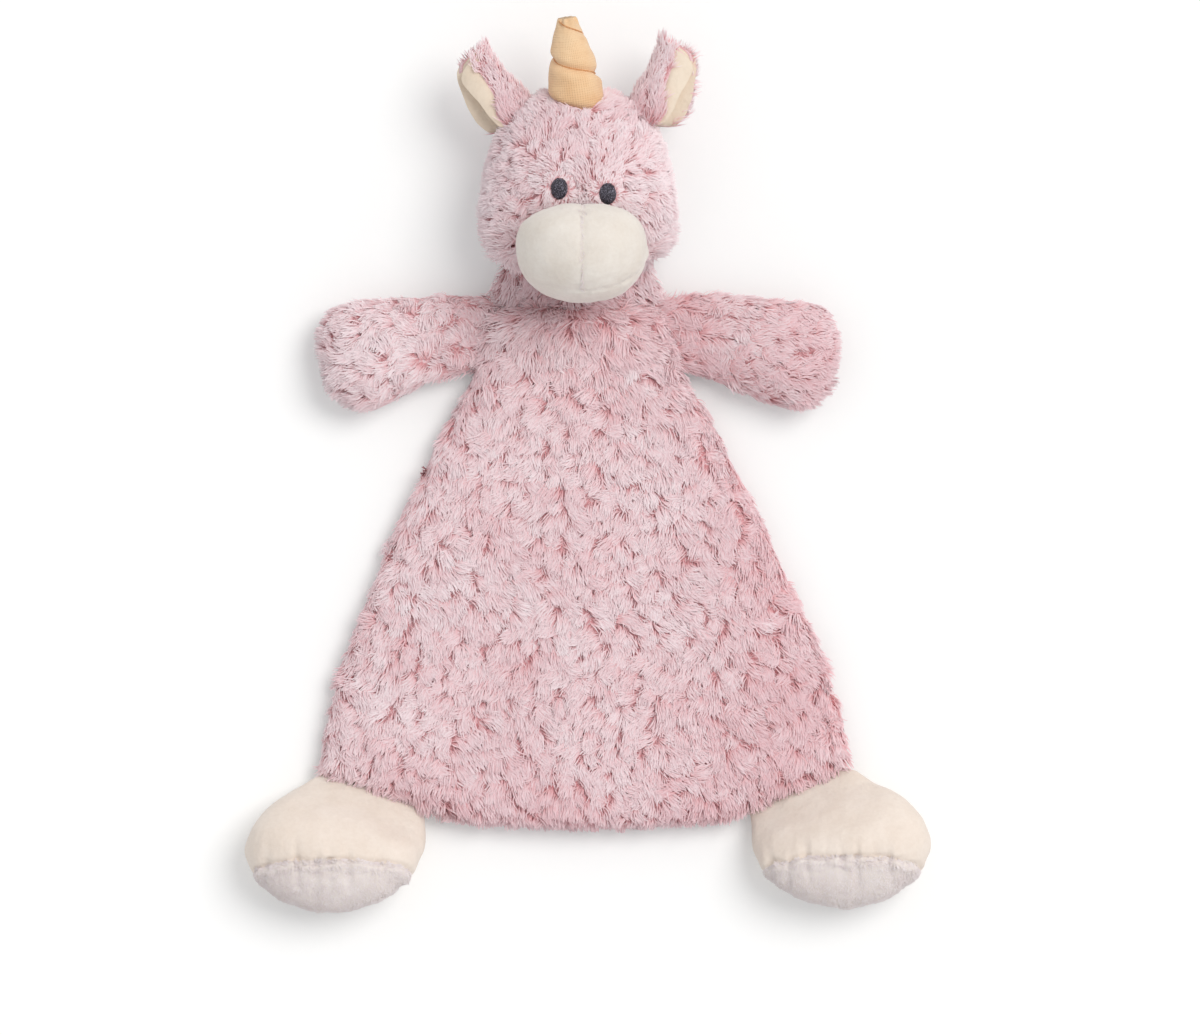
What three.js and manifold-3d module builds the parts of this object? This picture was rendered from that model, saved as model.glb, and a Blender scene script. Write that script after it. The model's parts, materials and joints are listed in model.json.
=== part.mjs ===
// Comfort blanket lovey: a stuffed plush head, arms and feet sewn to a flat two-layer plush blanket.
// Lengths are millimetres, angles are degrees, and +Z is up. The toy lies on its back with its face up,
// and +Y runs from the hem to the head. Left and right are the viewer's.
// Fur, pile and stitches are left out: each plush layer is the cloth with its pile pressed down.

import * as THREE from 'three';
import { mergeVertices } from 'three/addons/utils/BufferGeometryUtils.js';
import Module from 'manifold-3d';

const wasm = await Module();
wasm.setup();

// Cloth and seams
const GAP = 0.3; // clearance between two pieces that touch
const FLAT_CUT = 0.5; // how deep the table flattens what lies on it
const PLUSH = 3.5;
const VELOUR = 1.8;
const EDGE_RADIUS = 6.5; // rounded sewn edge that a limb folds about
const SEAM_HEIGHT = EDGE_RADIUS + FLAT_CUT; // height of the blanket's side seam over the table
const SECTION_POWER = 2.3; // fullness of a stuffed section, 2 is an ellipse
const OVERRUN = 5; // how far a cutting block runs past what it cuts

// Blanket
const BLANKET_LENGTH = 213;
const BLANKET_DRIFT = 4; // the hem's middle lies this far to the right of the neck's
const BLANKET_LOFT = 8.2; // front layer with its pile
const BLANKET_CROWN = 2.6;
const BLANKET_EDGE_POWER = 6;
const NECK_EDGE_HALF_WIDTH = 35.3;
const SHOULDER_LENGTH = 30;
const SHOULDER_TILT = 12.4;
const SHOULDER_DROP = 12.5; // arm's middle below the neck edge, along the shoulder seam
const HEM_CORNER_HALF_WIDTH = 62;
const HEM_CORNER_RISE = 5; // hem corners lie this much higher than its middle
const FOLD_COUNT = 3;
const EDGE_ROW_SHARES = [0, 0.4, 1]; // rows round the neck edge, as shares of its radius
const HEM_ROW_SHARES = [0.5, 1]; // rows along each foot's seam, and from there to the hem
const FOLD_DEPTH = 1.3;
const SIDE_SHARES = [[0, 0], [0.136, 0.217], [0.274, 0.384], [0.45, 0.575], [0.575, 0.7], [0.726, 0.848],
  [0.814, 0.93], [0.914, 0.985], [1, 1]]; // share of the way out, down the side

// Neck
const NECK_LENGTH = 6.2;
const NECK_HALF_WIDTH = 30.5;
const NECK_CENTRE_RISE = 5;
const NECK_CROWN_RISE = 4.5;
const NECK_BELLY_RISE = 4;

// Head
const HEAD_LENGTH = 71.2;
const HEAD_HALF_WIDTH = 40.4;
const HEAD_DEPTH = 60;
const HEAD_SHIFT = 2.4; // the head lies a little to the right on its neck
const HEAD_ROUND_START_SHARE = 0.586;
const HEAD_ROUND_POWER = 2.5;
const HEAD_WIDTH_SHARES = [[0, 0.817], [0.108, 0.93], [0.277, 1], [0.36, 0.98], [0.586, 0.88], [0.768, 0.84],
  [1, 0.8]];
const HEAD_CROWN_SHARES = [[0, 0.4], [0.1, 0.66], [0.25, 0.92], [0.4, 1], [0.6, 0.98], [0.8, 0.93], [1, 0.9]];
const HEAD_BELLY_SHARES = [[0, 0.86], [0.15, 1], [0.5, 1], [1, 1]];

// Muzzle
const MUZZLE_HALF_WIDTH = 26.6;
const MUZZLE_HALF_LENGTH = 20.3;
const MUZZLE_HALF_DEPTH = 28;
const MUZZLE_ALONG = 4.1; // middle of the muzzle from the head's neck end
const MUZZLE_HEIGHT = 56; // middle of the muzzle over the table
const CHIN_SEAM_ALONG_SHARE = -0.8;
const CHIN_SEAM_HEIGHT_SHARE = 0.68;
const CHIN_SEAM_TILT = 35;

// Eyes
const EYE_HALF_WIDTH = 3.3;
const EYE_HALF_LENGTH = 4.2;
const EYE_THREAD = 0.9;
const EYE_LEFT_SHARES = { along: 0.417, side: 0.228 };
const EYE_RIGHT_SHARES = { along: 0.389, side: -0.248 };

// Horn
const HORN_LENGTH = 35.4;
const HORN_BASE_RADIUS = 11;
const HORN_ROOT = 14; // length that starts inside the head, before the head cuts it off
const HORN_ALONG_SHARE = 0.889;
const HORN_SIDE = 2;
const HORN_HEIGHT = 40;
const HORN_LEAN = 5;
const HORN_RISE = 10;
const HORN_PITCH = 16.4;
const HORN_GROOVE_DEPTH = 1.7;
const HORN_GROOVE_START_SHARE = 0.1; // place of the groove on the horn's left side
const HORN_TIP_SHARE = 0.25; // share of the horn's length over which the groove runs out at its tip
const HORN_TAPER_SHARES = [[0, 1], [0.3, 0.96], [0.55, 0.76], [0.8, 0.6], [0.95, 0.44], [1, 0.3]];
const THREAD_RADIUS = 0.5;
const THREAD_TURNS = 1.7;

// Ears
const EAR_LENGTH = 27;
const EAR_HALF_WIDTH = 10.5; // half the leaf's width, laid out flat
const EAR_CUP_RADIUS = 8;
const EAR_ROOT_RADIUS = 3;
const EAR_CLEARANCE = 0.6; // between an ear's root and the head, whose curve the root lies across
const EAR_PLUSH = 3;
const EAR_LINING_INSET = 1.2;
const EAR_ALONG_SHARE = 0.885;
const EAR_SPLAY = 21;
const EAR_TURN = 48; // how far the cup's opening faces outwards
const EAR_WIDTH_SHARES = [[0, 0.32], [0.2, 0.7], [0.45, 1], [0.7, 0.98], [1, 0.75]];
const EAR_ROUND_START_SHARE = 0.55;

// Arms
const ARM_LENGTH = 58.2; // from the fold axis to the hand's end
const ARM_HALF_WIDTH = 23.2;
const ARM_CROWN = 15;
const ARM_CENTRE_RISE = 4.5;
const ARM_ROUND_START_SHARE = 0.57;
const ARM_WIDTH_SHARES = [[0, 0.68], [0.055, 0.74], [0.227, 0.875], [0.399, 0.974], [0.57, 1], [0.708, 0.97],
  [0.85, 0.93], [1, 0.9]];
const ARM_DRIFT_SHARES = [[0, 0.027], [0.055, 0.055], [0.227, 0.167], [0.399, 0.265], [0.57, 0.325],
  [0.708, 0.333], [0.811, 0.313], [0.931, 0.253], [1, 0.2]];
const ARM_FILL_SHARES = [[0, 0], [0.2, 0.5], [0.45, 0.9], [0.65, 1], [1, 0.95]];

// Arms and feet alike
const BELLY_LEAD = 2; // how much sooner a limb's underside reaches the table than its top fills out

// Feet
const FOOT_LENGTH = 46.7; // from the fold axis to the toes' end
const FOOT_HALF_WIDTH = 35;
const FOOT_CROWN = 21;
const FOOT_CENTRE_RISE = 11;
const FOOT_ROUND_START_SHARE = 0.368;
const FOOT_SPLAY_LEFT = 17;
const FOOT_SPLAY_RIGHT = 21;
const FOOT_ROOT_ACROSS = 86.2; // middle of the foot's seam from the blanket's centre line
const FOOT_ROOT_DOWN = 196.2; // middle of the foot's seam from the neck edge
const FOOT_ROOT_HALF_WIDTH = 23;
const FOOT_WIDTH_SHARES = [[0, 0.69], [0.154, 0.86], [0.39, 0.945], [0.625, 0.977], [1, 1]];
const FOOT_DRIFT_SHARES = [[0, 0.01], [0.154, 0.07], [0.39, 0.133], [0.625, 0.214], [0.732, 0.255],
  [0.861, 0.293], [1, 0.29]];
const FOOT_FILL_SHARES = [[0, 0], [0.15, 0.46], [0.35, 0.86], [0.55, 1], [0.8, 1], [1, 0.95]];
const SOLE_ALONG_SHARE = 0.6; // place of the sole's seam on top of the foot
const SOLE_TILT = 20; // how far the sole faces up

// Facets and fine steps
const ROOT_STEPS = 3;
const LIMB_STEPS = 6;
const LIMB_COLUMNS = 8;
const HEAD_STEPS = 10;
const HEAD_COLUMNS = 12;
const HORN_STEPS = 18;
const HORN_COLUMNS = 7;
const SIDE_STEPS = 7;
const BLANKET_COLUMNS = 14;
const MUZZLE_SECTORS = 16;
const MUZZLE_RINGS = 10;
const EYE_STEPS = 6;
const EAR_STEPS = 6;
const EAR_COLUMNS = 6;
const THREAD_SIDES = 6;
const THREAD_STEPS_PER_TURN = 20;
const CYLINDER_SIDES = 24;
const RIM_STEP_SHARE = 0.008; // step along the head's rim that gives its direction

const MATERIALS = {
  plush: new THREE.MeshStandardMaterial({ color: 0xdcb9bd, roughness: 0.95, metalness: 0 }),
  velour: new THREE.MeshStandardMaterial({ color: 0xece4d8, roughness: 0.9, metalness: 0 }),
  soleVelour: new THREE.MeshStandardMaterial({ color: 0xe4dad6, roughness: 0.92, metalness: 0 }),
  hornVelour: new THREE.MeshStandardMaterial({ color: 0xe8be8c, roughness: 0.9, metalness: 0 }),
  eyeThread: new THREE.MeshStandardMaterial({ color: 0x554f64, roughness: 0.6, metalness: 0 }),
  hornThread: new THREE.MeshStandardMaterial({ color: 0xcd8a50, roughness: 0.7, metalness: 0 }),
  filling: new THREE.MeshStandardMaterial({ color: 0xf4f2ee, roughness: 1, metalness: 0 }),
};

// A smooth curve through the rows [place, value] of a table.
function smoothTable(shares) {
  const slopes = shares.map((row, i) => {
    const before = shares[Math.max(i - 1, 0)];
    const after = shares[Math.min(i + 1, shares.length - 1)];
    return (after[1] - before[1]) / (after[0] - before[0]);
  });
  return (place) => {
    const x = THREE.MathUtils.clamp(place, shares[0][0], shares[shares.length - 1][0]);
    const i = Math.max(shares.findIndex((row) => row[0] >= x), 1) - 1;
    const span = shares[i + 1][0] - shares[i][0];
    const t = (x - shares[i][0]) / span;
    const startWeight = (1 + 2 * t) * (1 - t) ** 2;
    const endWeight = t * t * (3 - 2 * t);
    const startSlope = t * (1 - t) ** 2 * span * slopes[i];
    const endSlope = t * t * (t - 1) * span * slopes[i + 1];
    return shares[i][1] * startWeight + shares[i + 1][1] * endWeight + startSlope + endSlope;
  };
}

// The height of a rounded section at a place from -1 to 1 across it.
function sectionHeight(place, power) {
  return Math.max(1 - Math.abs(place) ** power, 0) ** (1 / power);
}

// How much of its width a limb keeps where its end is rounded off.
function roundedEnd(share, start, power) {
  return share <= start ? 1 : sectionHeight((share - start) / (1 - start), power);
}

// Places from -1 to 1, closer together at both ends.
function crossPlaces(columns) {
  return Array.from({ length: columns + 1 }, (_, i) => -Math.cos((Math.PI * i) / columns));
}

// Makes a closed solid between two grids of points that have as many rows and columns.
// Where the grids share an edge the solid closes there, and elsewhere a strip joins them.
function sheetSolid(outer, inner) {
  const rows = outer.length - 1;
  const columns = outer[0].length - 1;
  const points = [];
  for (const grid of [outer, inner]) {
    for (const row of grid) {
      for (const point of row) {
        points.push(point.x, point.y, point.z);
      }
    }
  }
  const at = (side, row, column) => (side * (rows + 1) + row) * (columns + 1) + column;
  const faces = [];
  const addQuad = (a, b, c, d) => faces.push(a, b, c, a, c, d);
  for (let i = 0; i < rows; i += 1) {
    for (let j = 0; j < columns; j += 1) {
      addQuad(at(0, i, j), at(0, i + 1, j), at(0, i + 1, j + 1), at(0, i, j + 1));
      addQuad(at(1, i, j), at(1, i, j + 1), at(1, i + 1, j + 1), at(1, i + 1, j));
    }
    addQuad(at(0, i, 0), at(1, i, 0), at(1, i + 1, 0), at(0, i + 1, 0));
    addQuad(at(0, i + 1, columns), at(1, i + 1, columns), at(1, i, columns), at(0, i, columns));
  }
  for (let j = 0; j < columns; j += 1) {
    addQuad(at(0, 0, j), at(0, 0, j + 1), at(1, 0, j + 1), at(1, 0, j));
    addQuad(at(0, rows, j + 1), at(0, rows, j), at(1, rows, j), at(1, rows, j + 1));
  }
  const geometry = new THREE.BufferGeometry();
  geometry.setAttribute('position', new THREE.Float32BufferAttribute(points, 3));
  geometry.setIndex(faces);
  return closedGeometry(geometry);
}

// Merges shared corners, drops faces without area and turns the faces outwards.
function closedGeometry(geometry) {
  const merged = mergeVertices(geometry);
  const position = merged.getAttribute('position');
  const faces = [];
  let volume = 0;
  const corners = [new THREE.Vector3(), new THREE.Vector3(), new THREE.Vector3()];
  for (let i = 0; i < merged.index.count; i += 3) {
    const face = [merged.index.getX(i), merged.index.getX(i + 1), merged.index.getX(i + 2)];
    if (new Set(face).size === 3) {
      faces.push(...face);
      face.forEach((index, k) => corners[k].fromBufferAttribute(position, index));
      volume += corners[0].dot(corners[1].cross(corners[2]));
    }
  }
  if (volume < 0) {
    faces.reverse();
  }
  const closed = new THREE.BufferGeometry();
  closed.setAttribute('position', position);
  closed.setIndex(faces);
  return closed;
}

function solidOf(geometry) {
  const bare = geometry.clone();
  bare.deleteAttribute('normal');
  bare.deleteAttribute('uv');
  const merged = mergeVertices(bare);
  return new wasm.Manifold(new wasm.Mesh({
    numProp: 3,
    vertProperties: new Float32Array(merged.getAttribute('position').array),
    triVerts: new Uint32Array(merged.index.array),
  }));
}

function geometryOf(solid) {
  const mesh = solid.getMesh();
  const geometry = new THREE.BufferGeometry();
  geometry.setAttribute('position', new THREE.Float32BufferAttribute(mesh.vertProperties, 3));
  geometry.setIndex(Array.from(mesh.triVerts));
  return geometry;
}

function addPiece(group, name, geometry, material) {
  geometry.computeVertexNormals();
  const mesh = new THREE.Mesh(geometry, material);
  mesh.name = name;
  group.add(mesh);
  return mesh;
}

// A stuffed form lies along x with its width along y. It has these values:
//   length, width, drift, crown and belly: its size, and curves over the share of its length,
//   centre: the height of its seam over the table, round: where and how its far end is rounded,
//   rootRadius: radius of the sewn edge at x = 0, or 0 where the form is open there,
//   side: 1, or -1 where its drift goes towards -y.
function formRows(form, inset, start) {
  const rows = [];
  const radius = form.rootRadius - inset;
  if (form.rootRadius > 0) {
    for (let i = 0; i < ROOT_STEPS; i += 1) {
      const angle = (Math.PI / 2) * (i / ROOT_STEPS);
      rows.push({ x: -radius * Math.cos(angle), share: 0, height: radius * Math.sin(angle) });
    }
  }
  const end = form.length - inset * form.rounded;
  for (let i = 0; i <= form.steps; i += 1) {
    const share = form.rounded ? Math.sin((Math.PI / 2) * (i / form.steps)) : i / form.steps;
    rows.push({ x: start + (end - start) * share, share });
  }
  return rows;
}

// The points of a form's upper (face 1) or lower (face -1) side, drawn in by inset.
function formGrid(form, face, inset, { start = 0, seamGap = 0 } = {}) {
  const reach = face > 0 ? form.crown : form.belly;
  const floor = inset - form.lift;
  return formRows(form, inset, start).map((row) => {
    const end = form.rounded ? roundedEnd(row.share, form.roundStart, form.roundPower) : 1;
    const halfWidth = (form.width(row.share) - inset) * end;
    const height = row.height ?? (reach(row.share) - inset) * end;
    const centre = form.centre(row.share) + face * seamGap;
    return crossPlaces(form.columns).map((place) => {
      const bulge = Math.max(height - seamGap, 0) * sectionHeight(place, form.power);
      const y = form.side * form.drift(row.share) + halfWidth * place;
      return new THREE.Vector3(row.x, y, Math.max(centre + face * bulge, floor));
    });
  });
}

function formGeometry(form, inset, options) {
  return sheetSolid(formGrid(form, 1, inset, options), formGrid(form, -1, inset, options));
}

// One of the two cloth halves of a form, open towards the other half.
function panelGeometry(form, face, wall) {
  const seamGap = GAP / 2;
  return sheetSolid(formGrid(form, face, 0, { seamGap }), formGrid(form, face, wall, { seamGap }));
}

// A form carried on past its open end, to cut out its inside.
function carriedOn(form, extra) {
  const stretch = (form.length + extra) / form.length;
  const onwards = (curve) => (share) => curve(share * stretch);
  return {
    ...form,
    length: form.length + extra,
    centre: onwards(form.centre),
    crown: onwards(form.crown),
    belly: onwards(form.belly),
  };
}

// A block whose face through the origin looks along +x, and which fills the side behind that face.
function blockBehind(size) {
  return new THREE.BoxGeometry(size, size, size).translate(-size / 2, 0, 0);
}

function makeNeckForm() {
  return {
    length: NECK_LENGTH,
    rootRadius: EDGE_RADIUS,
    rounded: 0,
    steps: 2,
    columns: LIMB_COLUMNS,
    power: SECTION_POWER,
    side: 1,
    lift: 0,
    width: () => NECK_HALF_WIDTH,
    drift: () => 0,
    centre: (share) => SEAM_HEIGHT + NECK_CENTRE_RISE * share,
    crown: (share) => EDGE_RADIUS + NECK_CROWN_RISE * share,
    belly: (share) => EDGE_RADIUS + NECK_BELLY_RISE * share,
  };
}

function makeHeadForm() {
  const width = smoothTable(HEAD_WIDTH_SHARES);
  const crown = smoothTable(HEAD_CROWN_SHARES);
  const belly = smoothTable(HEAD_BELLY_SHARES);
  const halfDepth = HEAD_DEPTH / 2;
  return {
    length: HEAD_LENGTH,
    rootRadius: 0,
    rounded: 1,
    roundStart: HEAD_ROUND_START_SHARE,
    roundPower: HEAD_ROUND_POWER,
    steps: HEAD_STEPS,
    columns: HEAD_COLUMNS,
    power: SECTION_POWER,
    side: 1,
    lift: 0,
    width: (share) => HEAD_HALF_WIDTH * width(share),
    drift: () => 0,
    centre: () => halfDepth,
    crown: (share) => halfDepth * crown(share),
    belly: (share) => (halfDepth + FLAT_CUT) * belly(share),
  };
}

// An arm or a foot, whose seam rises from the blanket's edge to its own middle.
function makeLimbForm(sizes, side) {
  const width = smoothTable(sizes.widthShares);
  const drift = smoothTable(sizes.driftShares);
  const fill = smoothTable(sizes.fillShares);
  const centre = (share) => SEAM_HEIGHT + sizes.centreRise * fill(share);
  const room = (share) => centre(share) + FLAT_CUT - EDGE_RADIUS;
  return {
    length: sizes.length,
    rootRadius: EDGE_RADIUS,
    rounded: 1,
    roundStart: sizes.roundStart,
    roundPower: 2,
    steps: LIMB_STEPS,
    columns: LIMB_COLUMNS,
    power: SECTION_POWER,
    side,
    lift: 0,
    width: (share) => sizes.halfWidth * width(share),
    drift: (share) => sizes.length * drift(share),
    centre,
    crown: (share) => EDGE_RADIUS + (sizes.crown - EDGE_RADIUS) * fill(share),
    belly: (share) => EDGE_RADIUS + room(share) * Math.min(fill(share) * BELLY_LEAD, 1),
  };
}

// The places of the blanket's two edges and how thick it is there, row by row from neck to hem.
function blanketRows() {
  const corners = [-1, 1].map((hand) => footSeam(hand));
  const rows = EDGE_ROW_SHARES.map((share) => ({
    left: shoulderPoint(-1, EDGE_RADIUS * share),
    right: shoulderPoint(1, EDGE_RADIUS * share),
    thickness: sectionHeight(1 - share, 2),
  }));
  for (let i = 0; i <= SIDE_STEPS; i += 1) {
    rows.push({
      left: sidePoint(-1, corners[0].outer, i / SIDE_STEPS),
      right: sidePoint(1, corners[1].outer, i / SIDE_STEPS),
      thickness: 1,
    });
  }
  return rows.concat(hemRows(corners));
}

// A point on the shoulder seam, a given way down from the neck edge.
function shoulderPoint(hand, down) {
  const across = NECK_EDGE_HALF_WIDTH + down * Math.tan(THREE.MathUtils.degToRad(SHOULDER_TILT));
  return new THREE.Vector2(centreLine(down) + hand * across, -down);
}

// A point on the blanket's free side, from the shoulder seam to the outer end of the foot's seam.
function sidePoint(hand, corner, share) {
  const shoulderDown = SHOULDER_LENGTH * Math.cos(THREE.MathUtils.degToRad(SHOULDER_TILT));
  const start = shoulderPoint(hand, shoulderDown);
  const down = -THREE.MathUtils.lerp(start.y, corner.y, share);
  const startAcross = start.x - centreLine(shoulderDown);
  const endAcross = corner.x - centreLine(-corner.y);
  const across = THREE.MathUtils.lerp(startAcross, endAcross, smoothTable(SIDE_SHARES)(share));
  return new THREE.Vector2(centreLine(down) + across, -down);
}

// The rows below the corners of the blanket, where the feet are sewn on.
function hemRows(corners) {
  const hemDown = BLANKET_LENGTH - HEM_CORNER_RISE;
  const ends = [-1, 1].map((hand) => new THREE.Vector2(
    centreLine(BLANKET_LENGTH) + hand * HEM_CORNER_HALF_WIDTH, -hemDown));
  const rows = HEM_ROW_SHARES.map((share) => ({
    left: corners[0].outer.clone().lerp(corners[0].inner, share),
    right: corners[1].outer.clone().lerp(corners[1].inner, share),
    thickness: 1,
    sag: share,
  }));
  for (const share of HEM_ROW_SHARES) {
    rows.push({
      left: corners[0].inner.clone().lerp(ends[0], share),
      right: corners[1].inner.clone().lerp(ends[1], share),
      thickness: sectionHeight(share, 2),
      sag: 1,
    });
  }
  return rows;
}

function centreLine(down) {
  return (BLANKET_DRIFT * down) / BLANKET_LENGTH;
}

// Where a foot is sewn to the blanket: the seam's middle, its two ends, and the foot's own direction.
function footSeam(hand) {
  const splay = THREE.MathUtils.degToRad(hand > 0 ? FOOT_SPLAY_RIGHT : FOOT_SPLAY_LEFT);
  const middle = new THREE.Vector2(centreLine(FOOT_ROOT_DOWN) + hand * FOOT_ROOT_ACROSS, -FOOT_ROOT_DOWN);
  const along = new THREE.Vector2(hand * Math.cos(splay), Math.sin(splay));
  return {
    middle,
    outer: middle.clone().addScaledVector(along, FOOT_ROOT_HALF_WIDTH),
    inner: middle.clone().addScaledVector(along, -FOOT_ROOT_HALF_WIDTH),
    outwards: new THREE.Vector2(hand * Math.sin(splay), -Math.cos(splay)),
  };
}

// Where an arm is sewn to the blanket: the seam's middle and the arm's own direction.
function shoulderSeam(hand) {
  const tilt = THREE.MathUtils.degToRad(SHOULDER_TILT);
  const down = SHOULDER_DROP * Math.cos(tilt);
  const across = NECK_EDGE_HALF_WIDTH + SHOULDER_DROP * Math.sin(tilt);
  return {
    middle: new THREE.Vector2(centreLine(down) + hand * across, -down),
    outwards: new THREE.Vector2(hand * Math.cos(tilt), Math.sin(tilt)),
  };
}

// The blanket's points at the level of its seam (face 0), its upper (1) or its lower side (-1).
function blanketGrid(face, seamGap) {
  const rows = blanketRows();
  return rows.map((row, i) => crossPlaces(BLANKET_COLUMNS).map((place) => {
    const share = i / (rows.length - 1);
    const point = row.left.clone().lerp(row.right, (place + 1) / 2);
    point.y -= HEM_CORNER_RISE * (row.sag ?? 0) * (1 - place * place);
    const bulge = row.thickness * sectionHeight(place, BLANKET_EDGE_POWER);
    const fold = FOLD_DEPTH * share * Math.cos(Math.PI * FOLD_COUNT * place);
    const loft = BLANKET_LOFT + BLANKET_CROWN * (1 - place * place) + fold;
    const heights = {
      [-1]: Math.max(SEAM_HEIGHT - seamGap - (SEAM_HEIGHT + FLAT_CUT) * bulge, 0),
      0: SEAM_HEIGHT + seamGap,
      1: SEAM_HEIGHT + seamGap + loft * bulge,
    };
    return new THREE.Vector3(point.x, point.y, heights[face]);
  }));
}

function addBlanket(group) {
  const seamGap = GAP / 2;
  const front = sheetSolid(blanketGrid(1, seamGap), blanketGrid(0, seamGap));
  const back = sheetSolid(blanketGrid(-1, seamGap), blanketGrid(0, -seamGap));
  addPiece(group, 'blanket_front_panel', front, MATERIALS.plush);
  addPiece(group, 'blanket_back_panel', back, MATERIALS.plush);
}

// A group placed on a seam, with its x axis on the direction in which the piece leaves the seam.
function seamGroup(parent, middle, outwards, distance) {
  const group = new THREE.Group();
  const place = middle.clone().addScaledVector(outwards, distance);
  group.position.set(place.x, place.y, 0);
  group.rotation.z = Math.atan2(outwards.y, outwards.x);
  parent.add(group);
  return group;
}

function addNeck(body) {
  const neck = seamGroup(body, new THREE.Vector2(0, 0), new THREE.Vector2(0, 1), GAP + EDGE_RADIUS);
  const form = makeNeckForm();
  const longer = carriedOn(form, OVERRUN);
  const cover = solidOf(formGeometry(form, 0)).subtract(solidOf(formGeometry(longer, PLUSH)));
  const beyond = solidOf(blockBehind(4 * NECK_HALF_WIDTH).rotateZ(Math.PI).translate(NECK_LENGTH, 0, 0));
  const filling = solidOf(formGeometry(longer, PLUSH + GAP)).subtract(beyond);
  addPiece(neck, 'neck_cover', geometryOf(cover), MATERIALS.plush);
  addPiece(neck, 'neck_filling', geometryOf(filling), MATERIALS.filling);
}

function addHead(body) {
  const neckEnd = GAP + EDGE_RADIUS + NECK_LENGTH;
  const head = seamGroup(body, new THREE.Vector2(HEAD_SHIFT, 0), new THREE.Vector2(0, 1), neckEnd + GAP);
  const form = makeHeadForm();
  addPiece(head, 'head_front_panel', panelGeometry(form, 1, PLUSH), MATERIALS.plush);
  addPiece(head, 'head_back_panel', panelGeometry(form, -1, PLUSH), MATERIALS.plush);
  addPiece(head, 'head_filling', formGeometry(form, PLUSH + GAP), MATERIALS.filling);
  const headSpace = solidOf(formGeometry({ ...form, lift: GAP }, -GAP, { start: -GAP }));
  addMuzzle(head, headSpace);
  addEye(head, form, 'eye_left', EYE_LEFT_SHARES);
  addEye(head, form, 'eye_right', EYE_RIGHT_SHARES);
  addHorn(head, headSpace);
  addEar(head, form, 1, 'ear_left');
  addEar(head, form, -1, 'ear_right');
}

function muzzleSolid(inset) {
  const ball = new THREE.SphereGeometry(1, MUZZLE_SECTORS, MUZZLE_RINGS);
  ball.scale(MUZZLE_HALF_LENGTH - inset, MUZZLE_HALF_WIDTH - inset, MUZZLE_HALF_DEPTH - inset);
  ball.translate(MUZZLE_ALONG, 0, MUZZLE_HEIGHT);
  return solidOf(ball);
}

// The muzzle's cover is sewn from two upper halves and a chin, and is cut off by the head.
function addMuzzle(head, headSpace) {
  const shell = muzzleSolid(0).subtract(muzzleSolid(VELOUR)).subtract(headSpace);
  const size = 2 * (MUZZLE_HALF_WIDTH + MUZZLE_HALF_DEPTH) + OVERRUN;
  const seamAlong = MUZZLE_ALONG + MUZZLE_HALF_LENGTH * CHIN_SEAM_ALONG_SHARE;
  const seamHeight = MUZZLE_HEIGHT + MUZZLE_HALF_DEPTH * CHIN_SEAM_HEIGHT_SHARE;
  const chinBlock = (gap) => solidOf(blockBehind(size)
    .translate(gap, 0, 0)
    .rotateY(THREE.MathUtils.degToRad(-CHIN_SEAM_TILT))
    .translate(seamAlong, 0, seamHeight));
  const sideBlock = (hand) => solidOf(blockBehind(size)
    .rotateZ((-hand * Math.PI) / 2)
    .translate(MUZZLE_ALONG, (-hand * GAP) / 2, MUZZLE_HEIGHT));
  const upper = shell.subtract(chinBlock(GAP / 2));
  const chin = shell.intersect(chinBlock(-GAP / 2));
  addPiece(head, 'muzzle_left_panel', geometryOf(upper.subtract(sideBlock(-1))), MATERIALS.velour);
  addPiece(head, 'muzzle_right_panel', geometryOf(upper.subtract(sideBlock(1))), MATERIALS.velour);
  addPiece(head, 'muzzle_chin_panel', geometryOf(chin), MATERIALS.velour);
  const filling = muzzleSolid(VELOUR + GAP).subtract(headSpace);
  addPiece(head, 'muzzle_filling', geometryOf(filling), MATERIALS.filling);
}

// An embroidered eye: a low lens of thread that follows the face.
function addEye(head, form, name, shares) {
  const along = HEAD_LENGTH * shares.along;
  const side = HEAD_HALF_WIDTH * shares.side;
  const faceHeight = (x, y) => {
    const share = x / HEAD_LENGTH;
    const end = roundedEnd(share, form.roundStart, form.roundPower);
    const bulge = sectionHeight(y / (form.width(share) * end), form.power);
    return form.centre(share) + form.crown(share) * end * bulge;
  };
  const grid = (thread) => crossPlaces(EYE_STEPS).map((row) => crossPlaces(EYE_STEPS).map((column) => {
    const chord = sectionHeight(row, 2);
    const x = along + EYE_HALF_LENGTH * row;
    const y = side + EYE_HALF_WIDTH * chord * column;
    const lens = chord * sectionHeight(column, 2);
    return new THREE.Vector3(x, y, faceHeight(x, y) + GAP + thread * lens);
  }));
  addPiece(head, name, sheetSolid(grid(EYE_THREAD), grid(0)), MATERIALS.eyeThread);
}

// The horn's radius at a share of its length, with the groove that the thread draws in.
function hornRadius(share, angle, grooveDepth) {
  const taper = smoothTable(HORN_TAPER_SHARES);
  const turns = ((share - HORN_GROOVE_START_SHARE) * HORN_LENGTH) / HORN_PITCH + angle / (2 * Math.PI);
  const groove = Math.max(Math.cos(2 * Math.PI * turns), 0) ** 2;
  const room = Math.min(Math.max((1 - share) / HORN_TIP_SHARE, 0), 1);
  return HORN_BASE_RADIUS * taper(Math.max(share, 0)) - grooveDepth * groove * room;
}

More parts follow.
